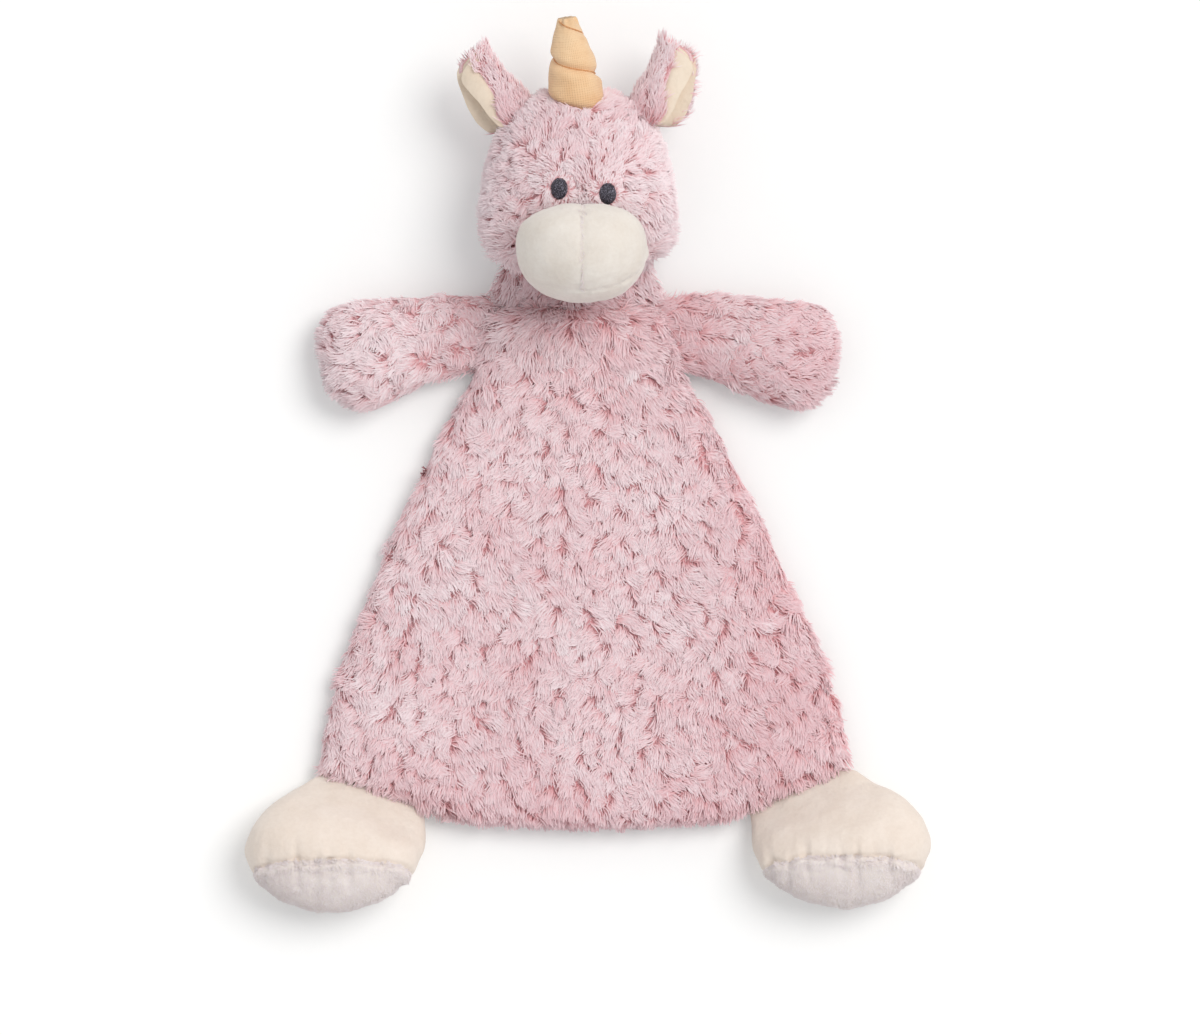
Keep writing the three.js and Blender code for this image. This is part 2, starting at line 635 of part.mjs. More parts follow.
function hornSolid(inset, grooveDepth) {
  const grid = (half) => Array.from({ length: HORN_STEPS + 1 }, (_, i) => {
    const x = THREE.MathUtils.lerp(-HORN_ROOT, HORN_LENGTH - inset, i / HORN_STEPS);
    return Array.from({ length: HORN_COLUMNS + 1 }, (__, j) => {
      const angle = (half * Math.PI * j) / HORN_COLUMNS;
      const radius = hornRadius(x / HORN_LENGTH, angle, grooveDepth) - inset;
      return new THREE.Vector3(x, radius * Math.cos(angle), radius * Math.sin(angle));
    });
  });
  return sheetSolid(grid(1), grid(-1));
}

// The thread's middle line: a helix along the bottom of the groove.
class ThreadCurve extends THREE.Curve {
  getPoint(t, target = new THREE.Vector3()) {
    const turn = t * THREAD_TURNS;
    const share = HORN_GROOVE_START_SHARE + (turn * HORN_PITCH) / HORN_LENGTH;
    const angle = -2 * Math.PI * turn;
    const radius = hornRadius(share, angle, HORN_GROOVE_DEPTH) + THREAD_RADIUS + 2 * GAP;
    return target.set(share * HORN_LENGTH, radius * Math.cos(angle), radius * Math.sin(angle));
  }
}

function threadGeometry() {
  const section = new THREE.Shape();
  for (let i = 0; i < THREAD_SIDES; i += 1) {
    const angle = (2 * Math.PI * i) / THREAD_SIDES;
    const corner = [THREAD_RADIUS * Math.cos(angle), THREAD_RADIUS * Math.sin(angle)];
    if (i === 0) {
      section.moveTo(...corner);
    } else {
      section.lineTo(...corner);
    }
  }
  return new THREE.ExtrudeGeometry(section, {
    steps: Math.round(THREAD_STEPS_PER_TURN * THREAD_TURNS),
    extrudePath: new ThreadCurve(),
    bevelEnabled: false,
  });
}

function addHorn(head, headSpace) {
  const horn = new THREE.Group();
  horn.position.set(HEAD_LENGTH * HORN_ALONG_SHARE, HORN_SIDE, HORN_HEIGHT);
  horn.rotation.set(0, THREE.MathUtils.degToRad(-HORN_RISE), THREE.MathUtils.degToRad(HORN_LEAN), 'ZYX');
  horn.updateMatrix();
  const inHead = (geometry) => solidOf(geometry.applyMatrix4(horn.matrix));
  const core = { inset: HORN_GROOVE_DEPTH + VELOUR, groove: 0 };
  const cover = inHead(hornSolid(0, HORN_GROOVE_DEPTH))
    .subtract(inHead(hornSolid(core.inset, core.groove)))
    .subtract(headSpace);
  const filling = inHead(hornSolid(core.inset + GAP, core.groove)).subtract(headSpace);
  const thread = inHead(threadGeometry()).subtract(headSpace);
  addPiece(head, 'horn_cover', geometryOf(cover), MATERIALS.hornVelour);
  addPiece(head, 'horn_filling', geometryOf(filling), MATERIALS.filling);
  addPiece(head, 'horn_thread', geometryOf(thread), MATERIALS.hornThread);
}

// The point and the outward direction on the head's side seam at a share of its length.
function headRim(form, share) {
  const rim = (at) => {
    const end = roundedEnd(at, form.roundStart, form.roundPower);
    return new THREE.Vector2(HEAD_LENGTH * at, form.width(at) * end);
  };
  const along = rim(share + RIM_STEP_SHARE).sub(rim(share - RIM_STEP_SHARE)).normalize();
  return { point: rim(share), outwards: new THREE.Vector2(-along.y, along.x) };
}

// One layer of an ear: a leaf that is bent round the cup, from one radius to another.
function earLayer(innerRadius, outerRadius, inset) {
  const width = smoothTable(EAR_WIDTH_SHARES);
  const grid = (radius) => Array.from({ length: EAR_STEPS + 1 }, (_, i) => {
    const share = Math.sin((Math.PI / 2) * (i / EAR_STEPS));
    const x = THREE.MathUtils.lerp(-EAR_ROOT_RADIUS, EAR_LENGTH - inset, share);
    const end = roundedEnd(share, EAR_ROUND_START_SHARE, 2);
    const halfWidth = (EAR_HALF_WIDTH * width(share) - inset) * end;
    return crossPlaces(EAR_COLUMNS).map((place) => {
      const angle = (halfWidth * place) / EAR_CUP_RADIUS;
      return new THREE.Vector3(x, radius * Math.sin(angle), EAR_CUP_RADIUS - radius * Math.cos(angle));
    });
  });
  return sheetSolid(grid(outerRadius), grid(innerRadius));
}

// The space that an ear may fill: a round edge about its fold axis, and all that lies beyond the axis.
function earSpace() {
  const size = 2 * (EAR_LENGTH + EAR_HALF_WIDTH + EAR_CUP_RADIUS + EAR_PLUSH);
  const edge = new THREE.CylinderGeometry(EAR_ROOT_RADIUS, EAR_ROOT_RADIUS, size, CYLINDER_SIDES);
  const beyond = blockBehind(size).rotateZ(Math.PI);
  return solidOf(edge).add(solidOf(beyond));
}

function addEar(head, form, hand, name) {
  const { point, outwards } = headRim(form, EAR_ALONG_SHARE);
  const place = point.addScaledVector(outwards, EAR_ROOT_RADIUS + EAR_CLEARANCE);
  const ear = new THREE.Group();
  ear.position.set(place.x, hand * place.y, form.centre(EAR_ALONG_SHARE));
  const turn = THREE.MathUtils.degToRad(-hand * EAR_TURN);
  ear.rotation.set(turn, 0, THREE.MathUtils.degToRad(hand * EAR_SPLAY), 'ZYX');
  head.add(ear);
  const space = earSpace();
  const back = solidOf(earLayer(EAR_CUP_RADIUS, EAR_CUP_RADIUS + EAR_PLUSH, 0)).intersect(space);
  const liningRadius = EAR_CUP_RADIUS - GAP;
  const lining = solidOf(earLayer(liningRadius - VELOUR, liningRadius, EAR_LINING_INSET)).intersect(space);
  addPiece(ear, `${name}_back`, geometryOf(back), MATERIALS.plush);
  addPiece(ear, `${name}_lining`, geometryOf(lining), MATERIALS.velour);
}

function addArm(body, hand, name) {
  const seam = shoulderSeam(hand);
  const arm = seamGroup(body, seam.middle, seam.outwards, GAP + EDGE_RADIUS);
  const form = makeLimbForm({
    length: ARM_LENGTH,
    halfWidth: ARM_HALF_WIDTH,
    crown: ARM_CROWN,
    centreRise: ARM_CENTRE_RISE,
    roundStart: ARM_ROUND_START_SHARE,
    widthShares: ARM_WIDTH_SHARES,
    driftShares: ARM_DRIFT_SHARES,
    fillShares: ARM_FILL_SHARES,
  }, -hand);
  addPiece(arm, `${name}_front`, panelGeometry(form, 1, PLUSH), MATERIALS.plush);
  addPiece(arm, `${name}_back`, panelGeometry(form, -1, PLUSH), MATERIALS.plush);
  addPiece(arm, `${name}_filling`, formGeometry(form, PLUSH + GAP), MATERIALS.filling);
}

function addFoot(body, hand, name) {
  const seam = footSeam(hand);
  const foot = seamGroup(body, seam.middle, seam.outwards, GAP + EDGE_RADIUS);
  const form = makeLimbForm({
    length: FOOT_LENGTH,
    halfWidth: FOOT_HALF_WIDTH,
    crown: FOOT_CROWN,
    centreRise: FOOT_CENTRE_RISE,
    roundStart: FOOT_ROUND_START_SHARE,
    widthShares: FOOT_WIDTH_SHARES,
    driftShares: FOOT_DRIFT_SHARES,
    fillShares: FOOT_FILL_SHARES,
  }, hand);
  const splay = THREE.MathUtils.degToRad(hand > 0 ? FOOT_SPLAY_RIGHT : FOOT_SPLAY_LEFT);
  const topHeight = form.centre(SOLE_ALONG_SHARE) + form.crown(SOLE_ALONG_SHARE);
  const soleBlock = (gap) => solidOf(blockBehind(2 * (FOOT_LENGTH + FOOT_HALF_WIDTH))
    .rotateZ(Math.PI)
    .translate(gap, 0, 0)
    .rotateY(THREE.MathUtils.degToRad(-SOLE_TILT))
    .rotateZ(-hand * splay)
    .translate(FOOT_LENGTH * SOLE_ALONG_SHARE, form.side * form.drift(SOLE_ALONG_SHARE), topHeight));
  const shell = solidOf(formGeometry(form, 0)).subtract(solidOf(formGeometry(form, VELOUR)));
  const upper = shell.subtract(soleBlock(-GAP / 2));
  const sole = shell.intersect(soleBlock(GAP / 2));
  addPiece(foot, `${name}_upper`, geometryOf(upper), MATERIALS.velour);
  addPiece(foot, `${name}_sole`, geometryOf(sole), MATERIALS.soleVelour);
  addPiece(foot, `${name}_filling`, formGeometry(form, VELOUR + GAP), MATERIALS.filling);
}

// The toy's origin is the middle of its outline on the table.
function centreOnTable(toy) {
  const box = new THREE.Box3().setFromObject(toy, true);
  const middle = box.getCenter(new THREE.Vector3());
  toy.position.set(-middle.x, -middle.y, -box.min.z);
}

function makeToy() {
  const toy = new THREE.Group();
  addBlanket(toy);
  addNeck(toy);
  addHead(toy);
  addArm(toy, -1, 'arm_left');
  addArm(toy, 1, 'arm_right');
  addFoot(toy, -1, 'foot_left');
  addFoot(toy, 1, 'foot_right');
  centreOnTable(toy);
  return toy;
}

export default makeToy();
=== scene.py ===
# Comfort blanket lovey: the looks of a soft toy that lies on its back, built round the fixed frame.
# Lengths are metres. +Z is up, +Y runs from the hem to the head, and left and right are the viewer's.

import json
import math
from contextlib import contextmanager
from functools import cache

import bmesh
import bpy
import numpy as np
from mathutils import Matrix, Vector
from mathutils.bvhtree import BVHTree
from mathutils.kdtree import KDTree


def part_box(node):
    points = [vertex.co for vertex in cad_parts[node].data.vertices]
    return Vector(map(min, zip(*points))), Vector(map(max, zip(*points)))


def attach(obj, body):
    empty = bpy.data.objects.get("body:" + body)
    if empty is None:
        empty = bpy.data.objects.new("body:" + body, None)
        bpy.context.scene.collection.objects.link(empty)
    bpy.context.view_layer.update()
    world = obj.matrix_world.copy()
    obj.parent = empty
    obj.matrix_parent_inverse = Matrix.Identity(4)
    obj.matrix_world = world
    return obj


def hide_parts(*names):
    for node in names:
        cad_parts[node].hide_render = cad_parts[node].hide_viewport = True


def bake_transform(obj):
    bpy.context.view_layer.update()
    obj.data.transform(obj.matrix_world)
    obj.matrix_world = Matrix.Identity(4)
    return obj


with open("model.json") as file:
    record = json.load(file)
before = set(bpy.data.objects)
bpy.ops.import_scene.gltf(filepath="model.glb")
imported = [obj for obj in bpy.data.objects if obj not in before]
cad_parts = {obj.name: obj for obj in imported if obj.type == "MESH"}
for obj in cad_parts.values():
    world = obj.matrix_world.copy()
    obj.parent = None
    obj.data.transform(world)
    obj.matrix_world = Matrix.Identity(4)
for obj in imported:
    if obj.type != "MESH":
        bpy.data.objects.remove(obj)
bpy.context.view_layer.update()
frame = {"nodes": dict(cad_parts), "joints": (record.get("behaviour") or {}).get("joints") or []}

MM = 0.001
UP = np.array([0.0, 0.0, 1.0])
TO_HEM = np.array([0.0, -1.0, 0.0])
HANDS = {"left": -1, "right": 1}
SEED = 7

# The photograph's view
PIXEL = 0.4 * MM
IMAGE_WIDTH = 1200
VIEW_CENTRE = (4.8 * MM, -21 * MM)
VIEW_LEVEL = 10 * MM  # height at which a pixel is PIXEL wide
CAMERA_HEIGHT = 7.0
CLIP_END = 20
SENSOR = 36.0

# Light and floor
KEY_PLACE = (0.52, 0.36, 1.0)
KEY_ANGLE = math.radians(34)
KEY_STRENGTH = 1.41
KEY_COLOUR = (1, 0.985, 0.97)
SKY_COLOUR = (0.97, 0.98, 1, 1)
SKY_STRENGTH = 0.62
FLOOR_COLOUR = (0.88, 0.88, 0.87, 1)
FLOOR_GLOW = 0.175  # so that the camera sees the floor nearly white
FLOOR_SIZE = 3.0
WHITE = (1, 1, 1, 1)

# Fur
PILE = 7.0 * MM
TUFT = 4.7 * MM  # distance between tufts
TUFT_TURN = 0.5  # how much tufts differ in direction, in radians
TUFT_SIZES = (0.78, 1.15)
TUFT_CURL = 0.5
TUFT_SEARCH = 1.2  # tufts on two sides of a thin edge keep apart by this share of their distance
SEEDS_PER_TUFT = 6
STRAND_JITTER = 0.36
STRAND_ROLL = 0.35
STRAND_ROWS = 3
STRAND_HALF_WIDTH = 0.2 * MM
MOST_STRANDS = 31000  # in one piece
WIDTH_SHARES = (0.45, 0.9, 1.0, 0.35)  # a strand's width, row by row
LIFT_SHARES = (0.62, 0.0)  # how upright a strand is at its root and at its tip
TUFTING_SHARE = 0.3  # how far a strand's tip is drawn to its tuft's tip
TUFTING_SPREAD = 0.25
LENGTH_SPREAD = 0.75
UNEVENNESS = (-1, 0.6)  # strands fall short more than they stand out
TONE = 0.55  # of the usual strand, from 0, deep, to 1, pale
TONE_SPREAD = 0.12
TONE_WAVE = 38 * MM
TONE_WAVE_HEIGHT = 0.14
SHADE_DEPTH = 0.3
TONE_COLUMNS = 48
SOFTNESS = 0.75  # how far a strand is shaded as the cloth under it is
FACING_UP = 0.8  # how far the blades on a slope turn their faces up
UNDERSIDE = -0.7  # how steeply a slope overhangs where they no longer do
PRESSED_SHARE = 0.4  # how much shorter the pile is on the underside
FLOOR_CLEARANCE = 0.25 * MM
FUR_MAP = "OFBake"
# Each fur's strands per mm2, the number that its random draws start from, and how it differs
FURS = {
    "blanket_front": {"density": 3.0, "seed": 10},
    "blanket_back": {"density": 0.9, "seed": 11, "half_width": 0.25 * MM},
    "head": {"density": 4.0, "seed": 20, "tuft": 4.0 * MM, "turn": 0.6},
    "neck": {"density": 2.4, "seed": 30, "tuft": 4.8 * MM},
    "arm": {"density": 3.0, "seed": 40},
    "ear": {"density": 4.0, "seed": 50, "tuft": 3.6 * MM, "turn": 0.22, "half_width": 0.16 * MM},
    "sole": {"density": 3.4, "seed": 60, "tuft": 2.4 * MM, "turn": 0.25, "half_width": 0.15 * MM},
    "muzzle": {"density": 2.6, "seed": 73, "tuft": 1.6 * MM, "pile": 1.3 * MM, "half_width": 0.12 * MM},
}
SIDE_FACING = -0.25  # the slope at which the blanket's front pile gives way to its back one

# Covers
DRAWING_STEPS = 5
PLUSH_INSET = 2.4 * MM  # the cloth lies this far inside the pile's outline
HEAD_INSET = 3.3 * MM
FACE_INSET = 0.4 * MM  # the pile is trimmed round the eyes
FACE_REACH = 11 * MM
FACE_SOURCE = np.array([0, 1, -4]) * MM  # where the face's nap starts, from the middle between the eyes
NAPE_HEIGHTS = (10 * MM, 30 * MM)
HEAD_INSETS = np.array([[3.2, 4.6, 2.4], [6.4, 4.6, 2.6]]) * MM  # at the low and the high sides of its box
STUFFING_PRESSURE = 4.0
STUFFING_FRAMES = 20
STUFFING_ROOM = 1.2 * MM  # how far a cover swells
SWELLING_CAP = 4 * MM
SEAM_REACH = 2 * MM
SOLE_RISE = 3.6 * MM  # the pile of a sole reaches up over its seam

# Horn, as in the part's solids
HORN_LEAN = math.radians(5)
HORN_EXTRA_LEAN = math.radians(2.5)  # beyond the solid's
HORN_SHIFT = -1.6 * MM  # of the cloth's tip, beyond the solid's
HORN_RISE = math.radians(10)
HORN_LENGTH = 35.4 * MM
HORN_ROOT = 9 * MM
HORN_RADIUS = 11 * MM
HORN_PITCH = 16.4 * MM
HORN_GROOVE = 1.7 * MM
HORN_GROOVE_START = 0.1
HORN_TAPER = ((0, 0.95), (0.22, 0.98), (0.33, 0.94), (0.44, 0.88), (0.55, 0.8), (0.655, 0.71), (0.78, 0.59),
              (0.87, 0.48), (0.93, 0.4), (0.975, 0.33), (1, 0.28))
HORN_THREAD_RADIUS = 0.32 * MM
HORN_THREAD_TURNS = 1.9
HORN_THREAD_TWISTS = 26  # in one turn

# Ears, as in the part's solids
EAR_LENGTH = 23.5 * MM
EAR_ROOT = 12 * MM
EAR_ROUNDING = 10 * MM  # how long the ear's rounded end is
EAR_ROOT_ROUNDING = 3 * MM
EAR_RISE = 3 * MM  # how far the cup's middle lies above the ear's joint
EAR_FLATNESS = 0.6  # the cup's height over its width
EAR_FACING = math.radians(28)  # how far the cup looks up
# Along the ear: the cup's middle outwards from the joint, its radius, and how far its near and far sides
# bend round from its back, and how far the velour shows round the near side
EAR_SECTIONS = {
    "along": np.array([-12, -4, 3.5, 13.6, 20, 24.5]) * MM,
    "out": np.array([3, 5, 6.7, 8.1, 8.4, 7.6]) * MM,
    "radius": np.array([7.6, 9, 8.2, 6.6, 5.4, 4.6]) * MM,
    "near": np.radians([134, 140, 143, 168, 172, 172]),
    "far": np.radians([112, 128, 135, 138, 150, 160]),
    "roll": np.radians([8, 16, 40, 64, 60, 40]),
}
EAR_TILTS = {"left": 0, "right": math.radians(12)}  # towards the horn
EAR_SHIFTS = {"left": 0, "right": -2.5 * MM}
EAR_FUR_REACH = {"left": math.radians(105), "right": math.radians(150)}  # round the far side
EAR_THICKNESS = 1.6 * MM
EAR_LINING_THICKNESS = 1.2 * MM
EAR_PILE = 4.5 * MM
EAR_ROOT_PILE = 2.5 * MM  # more at the root

# Eyes
EYE_REACH = 5.5 * MM  # the pile round an eye is trimmed most up to here, and less up to FACE_REACH
EYE_OPENING = np.array([2.8, 3.5, 20]) * MM  # half sizes of what the pile leaves free for an eye
EYE_STITCHES = 22
EYE_TURNS = {"left": math.radians(62), "right": math.radians(78)}  # of the stitches
EYE_THREAD = 0.24 * MM
EYE_RISE = 0.9 * MM
EYE_SINKING = 0.6 * MM

# Blanket, arms, neck and feet
HEM_PILE = (2 * MM, 14 * MM)  # from where to where above the hem the pile grows longer
HEM_PILE_SHARE = 0.55
CHEST_REACH = 30 * MM  # how far down the blanket the chest's longer pile reaches
HAND_TRIM = 14 * MM  # the pile grows shorter over this length of the hand
ARM_ROOT = 9 * MM  # how far an arm's cover reaches into the blanket
# Painted light and shade: the left arm's pile is paler and the right one's deeper, as light falls on them
ARM_SHADES = {"left": -0.8, "right": 0.6}
NECK_STRETCH = 2.1  # so that its cover reaches into the head and the blanket
NECK_FLARE = 0.25
SEAM_GROOVE = 1.1 * MM  # of a sole's seam
SEAM_LIP = 0.7 * MM
SEAM_PUCKER = 1.3 * MM
SOLE_NAP = np.array([0.0, -0.6, -1.0])


# Mesh helpers

def add_object(name, data):
    obj = bpy.data.objects.new(name, data)
    bpy.context.scene.collection.objects.link(obj)
    return obj


def read(items, field, width, kind=np.float32):
    values = np.empty(len(items) * width, kind)
    items.foreach_get(field, values)
    return values.reshape(-1, width)


def coords(mesh):
    return read(mesh.vertices, "co", 3).astype(float)


def set_coords(mesh, co):
    mesh.vertices.foreach_set("co", np.asarray(co, np.float32).ravel())
    mesh.update()


def vertex_normals(mesh):
    return read(mesh.vertex_normals, "vector", 3).astype(float)


def unit(v):
    return v / np.maximum(np.linalg.norm(v, axis=-1, keepdims=True), 1e-9)


def smooth_step(x, low, high):
    t = np.clip((x - low) / (high - low), 0, 1)
    return t * t * (3 - 2 * t)


def bell(x, width):
    return np.exp(-(x / width) ** 2)


def given(value, *places):
    """A number, or what a function gives at some places."""
    return value(*places) if callable(value) else value


def relaxed(co, edges, steps):
    """Each point moves half way to the mean of its neighbours."""
    a, b = edges.T
    count = np.maximum(np.bincount(edges.ravel(), minlength=len(co)), 1)[:, None]
    for _ in range(steps):
        total = np.stack([np.bincount(a, co[b, k], len(co)) + np.bincount(b, co[a, k], len(co))
                          for k in range(3)], axis=1)
        co = co + 0.5 * (total / count - co)
    return co


def modify(obj, kind, **settings):
    modifier = obj.modifiers.new(kind, kind)
    for name, value in settings.items():
        setattr(modifier, name, value)
    depsgraph = bpy.context.evaluated_depsgraph_get()
    mesh = bpy.data.meshes.new_from_object(obj.evaluated_get(depsgraph), depsgraph=depsgraph)
    old = obj.data
    obj.modifiers.clear()
    obj.data = mesh
    bpy.data.meshes.remove(old)
    mesh.name = obj.name


@contextmanager
def edited(mesh):
    work = bmesh.new()
    work.from_mesh(mesh)
    yield work
    work.to_mesh(mesh)
    work.free()


def cover_of(name, nodes, voxel):
    """One closed skin round the frame's nodes."""
    mesh = bpy.data.meshes.new(name)
    with edited(mesh) as work:
        for node in nodes:
            work.from_mesh(frame["nodes"][node].data)
    cover = add_object(name, mesh)
    modify(cover, "REMESH", mode="VOXEL", voxel_size=voxel)
    return cover


def subdivide(obj, levels=1):
    modify(obj, "SUBSURF", levels=levels, render_levels=levels)


def draw_in(obj, depth, relaxing):
    """Relaxes a cover, then moves its points inwards by depth, a number or a function of the points."""
    mesh = obj.data
    edges = read(mesh.edges, "vertices", 2, np.int32)
    set_coords(mesh, relaxed(coords(mesh), edges, relaxing))
    for _ in range(DRAWING_STEPS):
        co = coords(mesh)
        inwards = depth(co)[:, None] if callable(depth) else depth
        set_coords(mesh, relaxed(co - vertex_normals(mesh) * inwards / DRAWING_STEPS, edges, 2))


def shade_smooth(mesh):
    mesh.polygons.foreach_set("use_smooth", np.ones(len(mesh.polygons), bool))
    mesh.update()


def keep_places(mesh, name, places):
    """Patterns follow such an attribute, so they stay on the cloth when a piece bends."""
    kept = mesh.attributes.new(name, "FLOAT_VECTOR", "POINT")
    kept.data.foreach_set("vector", np.asarray(places, np.float32).ravel())


def dress(obj, material, slot, *nodes):
    """Gives a finished piece its material and hides the nodes it stands for."""
    obj.data.materials.clear()
    obj.data.materials.append(material)
    shade_smooth(obj.data)
    keep_places(obj.data, "rest", coords(obj.data))
    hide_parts(*nodes)
    return obj


def joint_frame(name):
    """A joint's place, and the horizontal direction in which its child leaves it."""
    found = next(j for j in frame["joints"] if j["name"] == name)
    return np.array(found["pos_m"], float), unit(np.cross(UP, unit(np.array(found["axis"], float))))


def union_box(nodes):
    boxes = [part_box(n) for n in nodes]
    return np.min([b[0] for b in boxes], axis=0), np.max([b[1] for b in boxes], axis=0)


@cache
def tree_of(source):
    """A search tree of a node's faces, or of a finished piece's."""
    mesh = frame["nodes"][source].data if isinstance(source, str) else source.data
    return BVHTree.FromPolygons([v.co for v in mesh.vertices], [tuple(p.vertices) for p in mesh.polygons])


def top_of(source, x, y):
    """The height of the highest surface over a place, or of the nearest one if none is over it."""
    found = tree_of(source).ray_cast(Vector((x, y, 1.0)), Vector((0, 0, -1)))[0]
    return (found or tree_of(source).find_nearest(Vector((x, y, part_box(source)[1][2])))[0]).z


def distance_to(points, *sources):
    return np.min([[tree_of(s).find_nearest(p)[3] for p in points] for s in sources], axis=0)


def outside(points, source):
    """The distance of points outside a closed piece, less than zero inside it."""
    found = [tree_of(source).find_nearest(p) for p in points]
    sign = [1 if (Vector(p) - f[0]).dot(f[1]) > 0 else -1 for p, f in zip(points, found)]
    return np.array([f[3] for f in found]) * sign


def across_seam(first, second):
    """A function that gives how far points lie from the seam of two groups of panels: less than zero
    on the first group."""
    return lambda points: distance_to(points, *first) - distance_to(points, *second)


def ring_faces(rings, sides):
    """The faces between rings of corners."""
    starts = range(0, (rings - 1) * sides, sides)
    turns = [(j, (j + 1) % sides) for j in range(sides)]
    return [(i + j, i + k, i + sides + k, i + sides + j) for i in starts for j, k in turns]


def tube(points, radii, sides):
    """The corners and faces of a closed tube along points."""
    points = np.asarray(points, float)
    along = unit(np.gradient(points, axis=0))
    across = unit(np.cross(along, UP + 1e-4))
    up = np.cross(across, along)
    turn = 2 * math.pi * np.arange(sides) / sides
    ring = np.cos(turn)[None, :, None] * across[:, None] + np.sin(turn)[None, :, None] * up[:, None]
    corners = points[:, None] + ring * np.asarray(radii)[:, None, None]
    ends = [tuple(range(sides))[::-1], tuple((len(points) - 1) * sides + j for j in range(sides))]
    return corners.reshape(-1, 3), ring_faces(len(points), sides) + ends


def joined(name, pieces):
    """One object of several (corners, faces)."""
    corners, faces, start = [], [], 0
    for own_corners, own_faces in pieces:
        corners.extend(own_corners)
        faces.extend(tuple(start + i for i in face) for face in own_faces)
        start += len(own_corners)
    mesh = bpy.data.meshes.new(name)
    mesh.from_pydata([tuple(c) for c in corners], [], faces)
    return add_object(name, mesh)


def shell(name, outer, inner):
    """A closed sheet between two grids of points."""
    rows, columns = outer.shape[:2]
    index = np.arange(rows * columns).reshape(rows, columns)
    faces = []
    for grid, turned in ((index, False), (index + index.size, True)):
        a, b, c, d = grid[:-1, :-1], grid[:-1, 1:], grid[1:, 1:], grid[1:, :-1]
        quads = np.stack([a, b, c, d], axis=-1).reshape(-1, 4)
        faces += [tuple(q[::-1] if turned else q) for q in quads.tolist()]
    rim = [*index[0, :-1], *index[:-1, -1], *index[-1, :0:-1], *index[:0:-1, 0]]
    for a, b in zip(rim, rim[1:] + rim[:1]):
        faces.append((b, a, a + index.size, b + index.size))
    faces = [tuple(int(i) for i in face) for face in faces]
    piece = joined(name, [(np.concatenate([outer.reshape(-1, 3), inner.reshape(-1, 3)]), faces)])
    with edited(piece.data) as work:
        bmesh.ops.recalc_face_normals(work, faces=work.faces)
    return piece


def patch(name, source, chosen, proud, thickness):
    """A closed sheet that lies over the chosen part of a cover."""
    co = coords(source.data) + vertex_normals(source.data) * proud
    inside = chosen(coords(source.data))
    faces = [tuple(p.vertices) for p in source.data.polygons if all(inside[v] for v in p.vertices)]
    piece = joined(name, [(co, faces)])
    with edited(piece.data) as work:
        bmesh.ops.delete(work, geom=[v for v in work.verts if not v.link_faces], context="VERTS")
    modify(piece, "SOLIDIFY", thickness=thickness, offset=-1)
    return piece


def swell(obj, seams):
    """Blows a cover up with its stuffing, by cloth simulation. Its seams hold it in."""
    start = coords(obj.data)
    held = np.any([np.abs(seam(start)) < SEAM_REACH for seam in seams], axis=0)
    group = obj.vertex_groups.new(name="seams")
    group.add([int(i) for i in np.flatnonzero(held)], 1.0, "REPLACE")
    modifier = obj.modifiers.new("stuffing", "CLOTH")
    cloth = modifier.settings
    cloth.use_pressure = True
    cloth.uniform_pressure_force = STUFFING_PRESSURE
    cloth.effector_weights.gravity = 0
    cloth.vertex_group_mass = group.name
    modifier.point_cache.frame_start = 1
    modifier.point_cache.frame_end = STUFFING_FRAMES
    for step in range(1, STUFFING_FRAMES + 1):
        bpy.context.scene.frame_set(step)
    swollen = obj.evaluated_get(bpy.context.evaluated_depsgraph_get())
    move = coords(swollen.data) - start
    obj.modifiers.clear()
    obj.vertex_groups.clear()
    bpy.context.scene.frame_set(1)
    far = np.linalg.norm(move, axis=1, keepdims=True)
    set_coords(obj.data, start + move * np.minimum(1, SWELLING_CAP / np.maximum(far, 1e-9)))


def fit(cover, low, high):
    co = coords(cover.data)
    own_low, own_high = co.min(axis=0), co.max(axis=0)
    set_coords(cover.data, low + (co - own_low) * (high - low) / (own_high - own_low))


def stuffed(name, nodes, inset, seams, voxel=4 * MM, levels=2):
    """A sewn and stuffed cover over some nodes. It lies inset inside them, and so does its box unless
    inset is a function."""
    cover = cover_of(name, nodes, voxel)
    draw_in(cover, (lambda co: inset(co) + STUFFING_ROOM) if callable(inset) else inset + STUFFING_ROOM, 3)
    swell(cover, seams)
    subdivide(cover, levels)
    if not callable(inset):
        low, high = union_box(nodes)
        fit(cover, low + inset, high - inset)
    return cover


def ripple(points, wavelength, seed):
    """A smooth random field from about -1 to 1."""
    rng = np.random.default_rng(seed)
    total = np.zeros(len(points))
    waves = 7
    for _ in range(waves):
        direction = unit(rng.normal(size=3)) * rng.uniform(0.6, 1.4)
        total += np.sin(points @ direction * (2 * math.pi / wavelength) + rng.uniform(0, 2 * math.pi))
    return total / math.sqrt(waves / 2) / 1.6


# Fur

def scattered(mesh, count, rng):
    """Points spread evenly over a mesh, and the surface's normals there."""
    mesh.calc_loop_triangles()
    corners = read(mesh.loop_triangles, "vertices", 3, np.int32)
    co, normal = coords(mesh), vertex_normals(mesh)
    a, b, c = (co[corners[:, k]] for k in range(3))
    area = np.linalg.norm(np.cross(b - a, c - a), axis=1) / 2
    steps = (np.arange(count) + rng.random(count)) / count
    face = np.minimum(np.searchsorted(np.cumsum(area) / area.sum(), steps), len(area) - 1)
    u, v = rng.random((2, count))
    folded = u + v > 1
    u, v = np.where(folded, 1 - u, u), np.where(folded, 1 - v, v)
    weights = np.stack([1 - u - v, u, v], axis=1)
    points = np.einsum("ij,ijk->ik", weights, co[corners[face]])
    return points, unit(np.einsum("ij,ijk->ik", weights, normal[corners[face]])), area.sum()


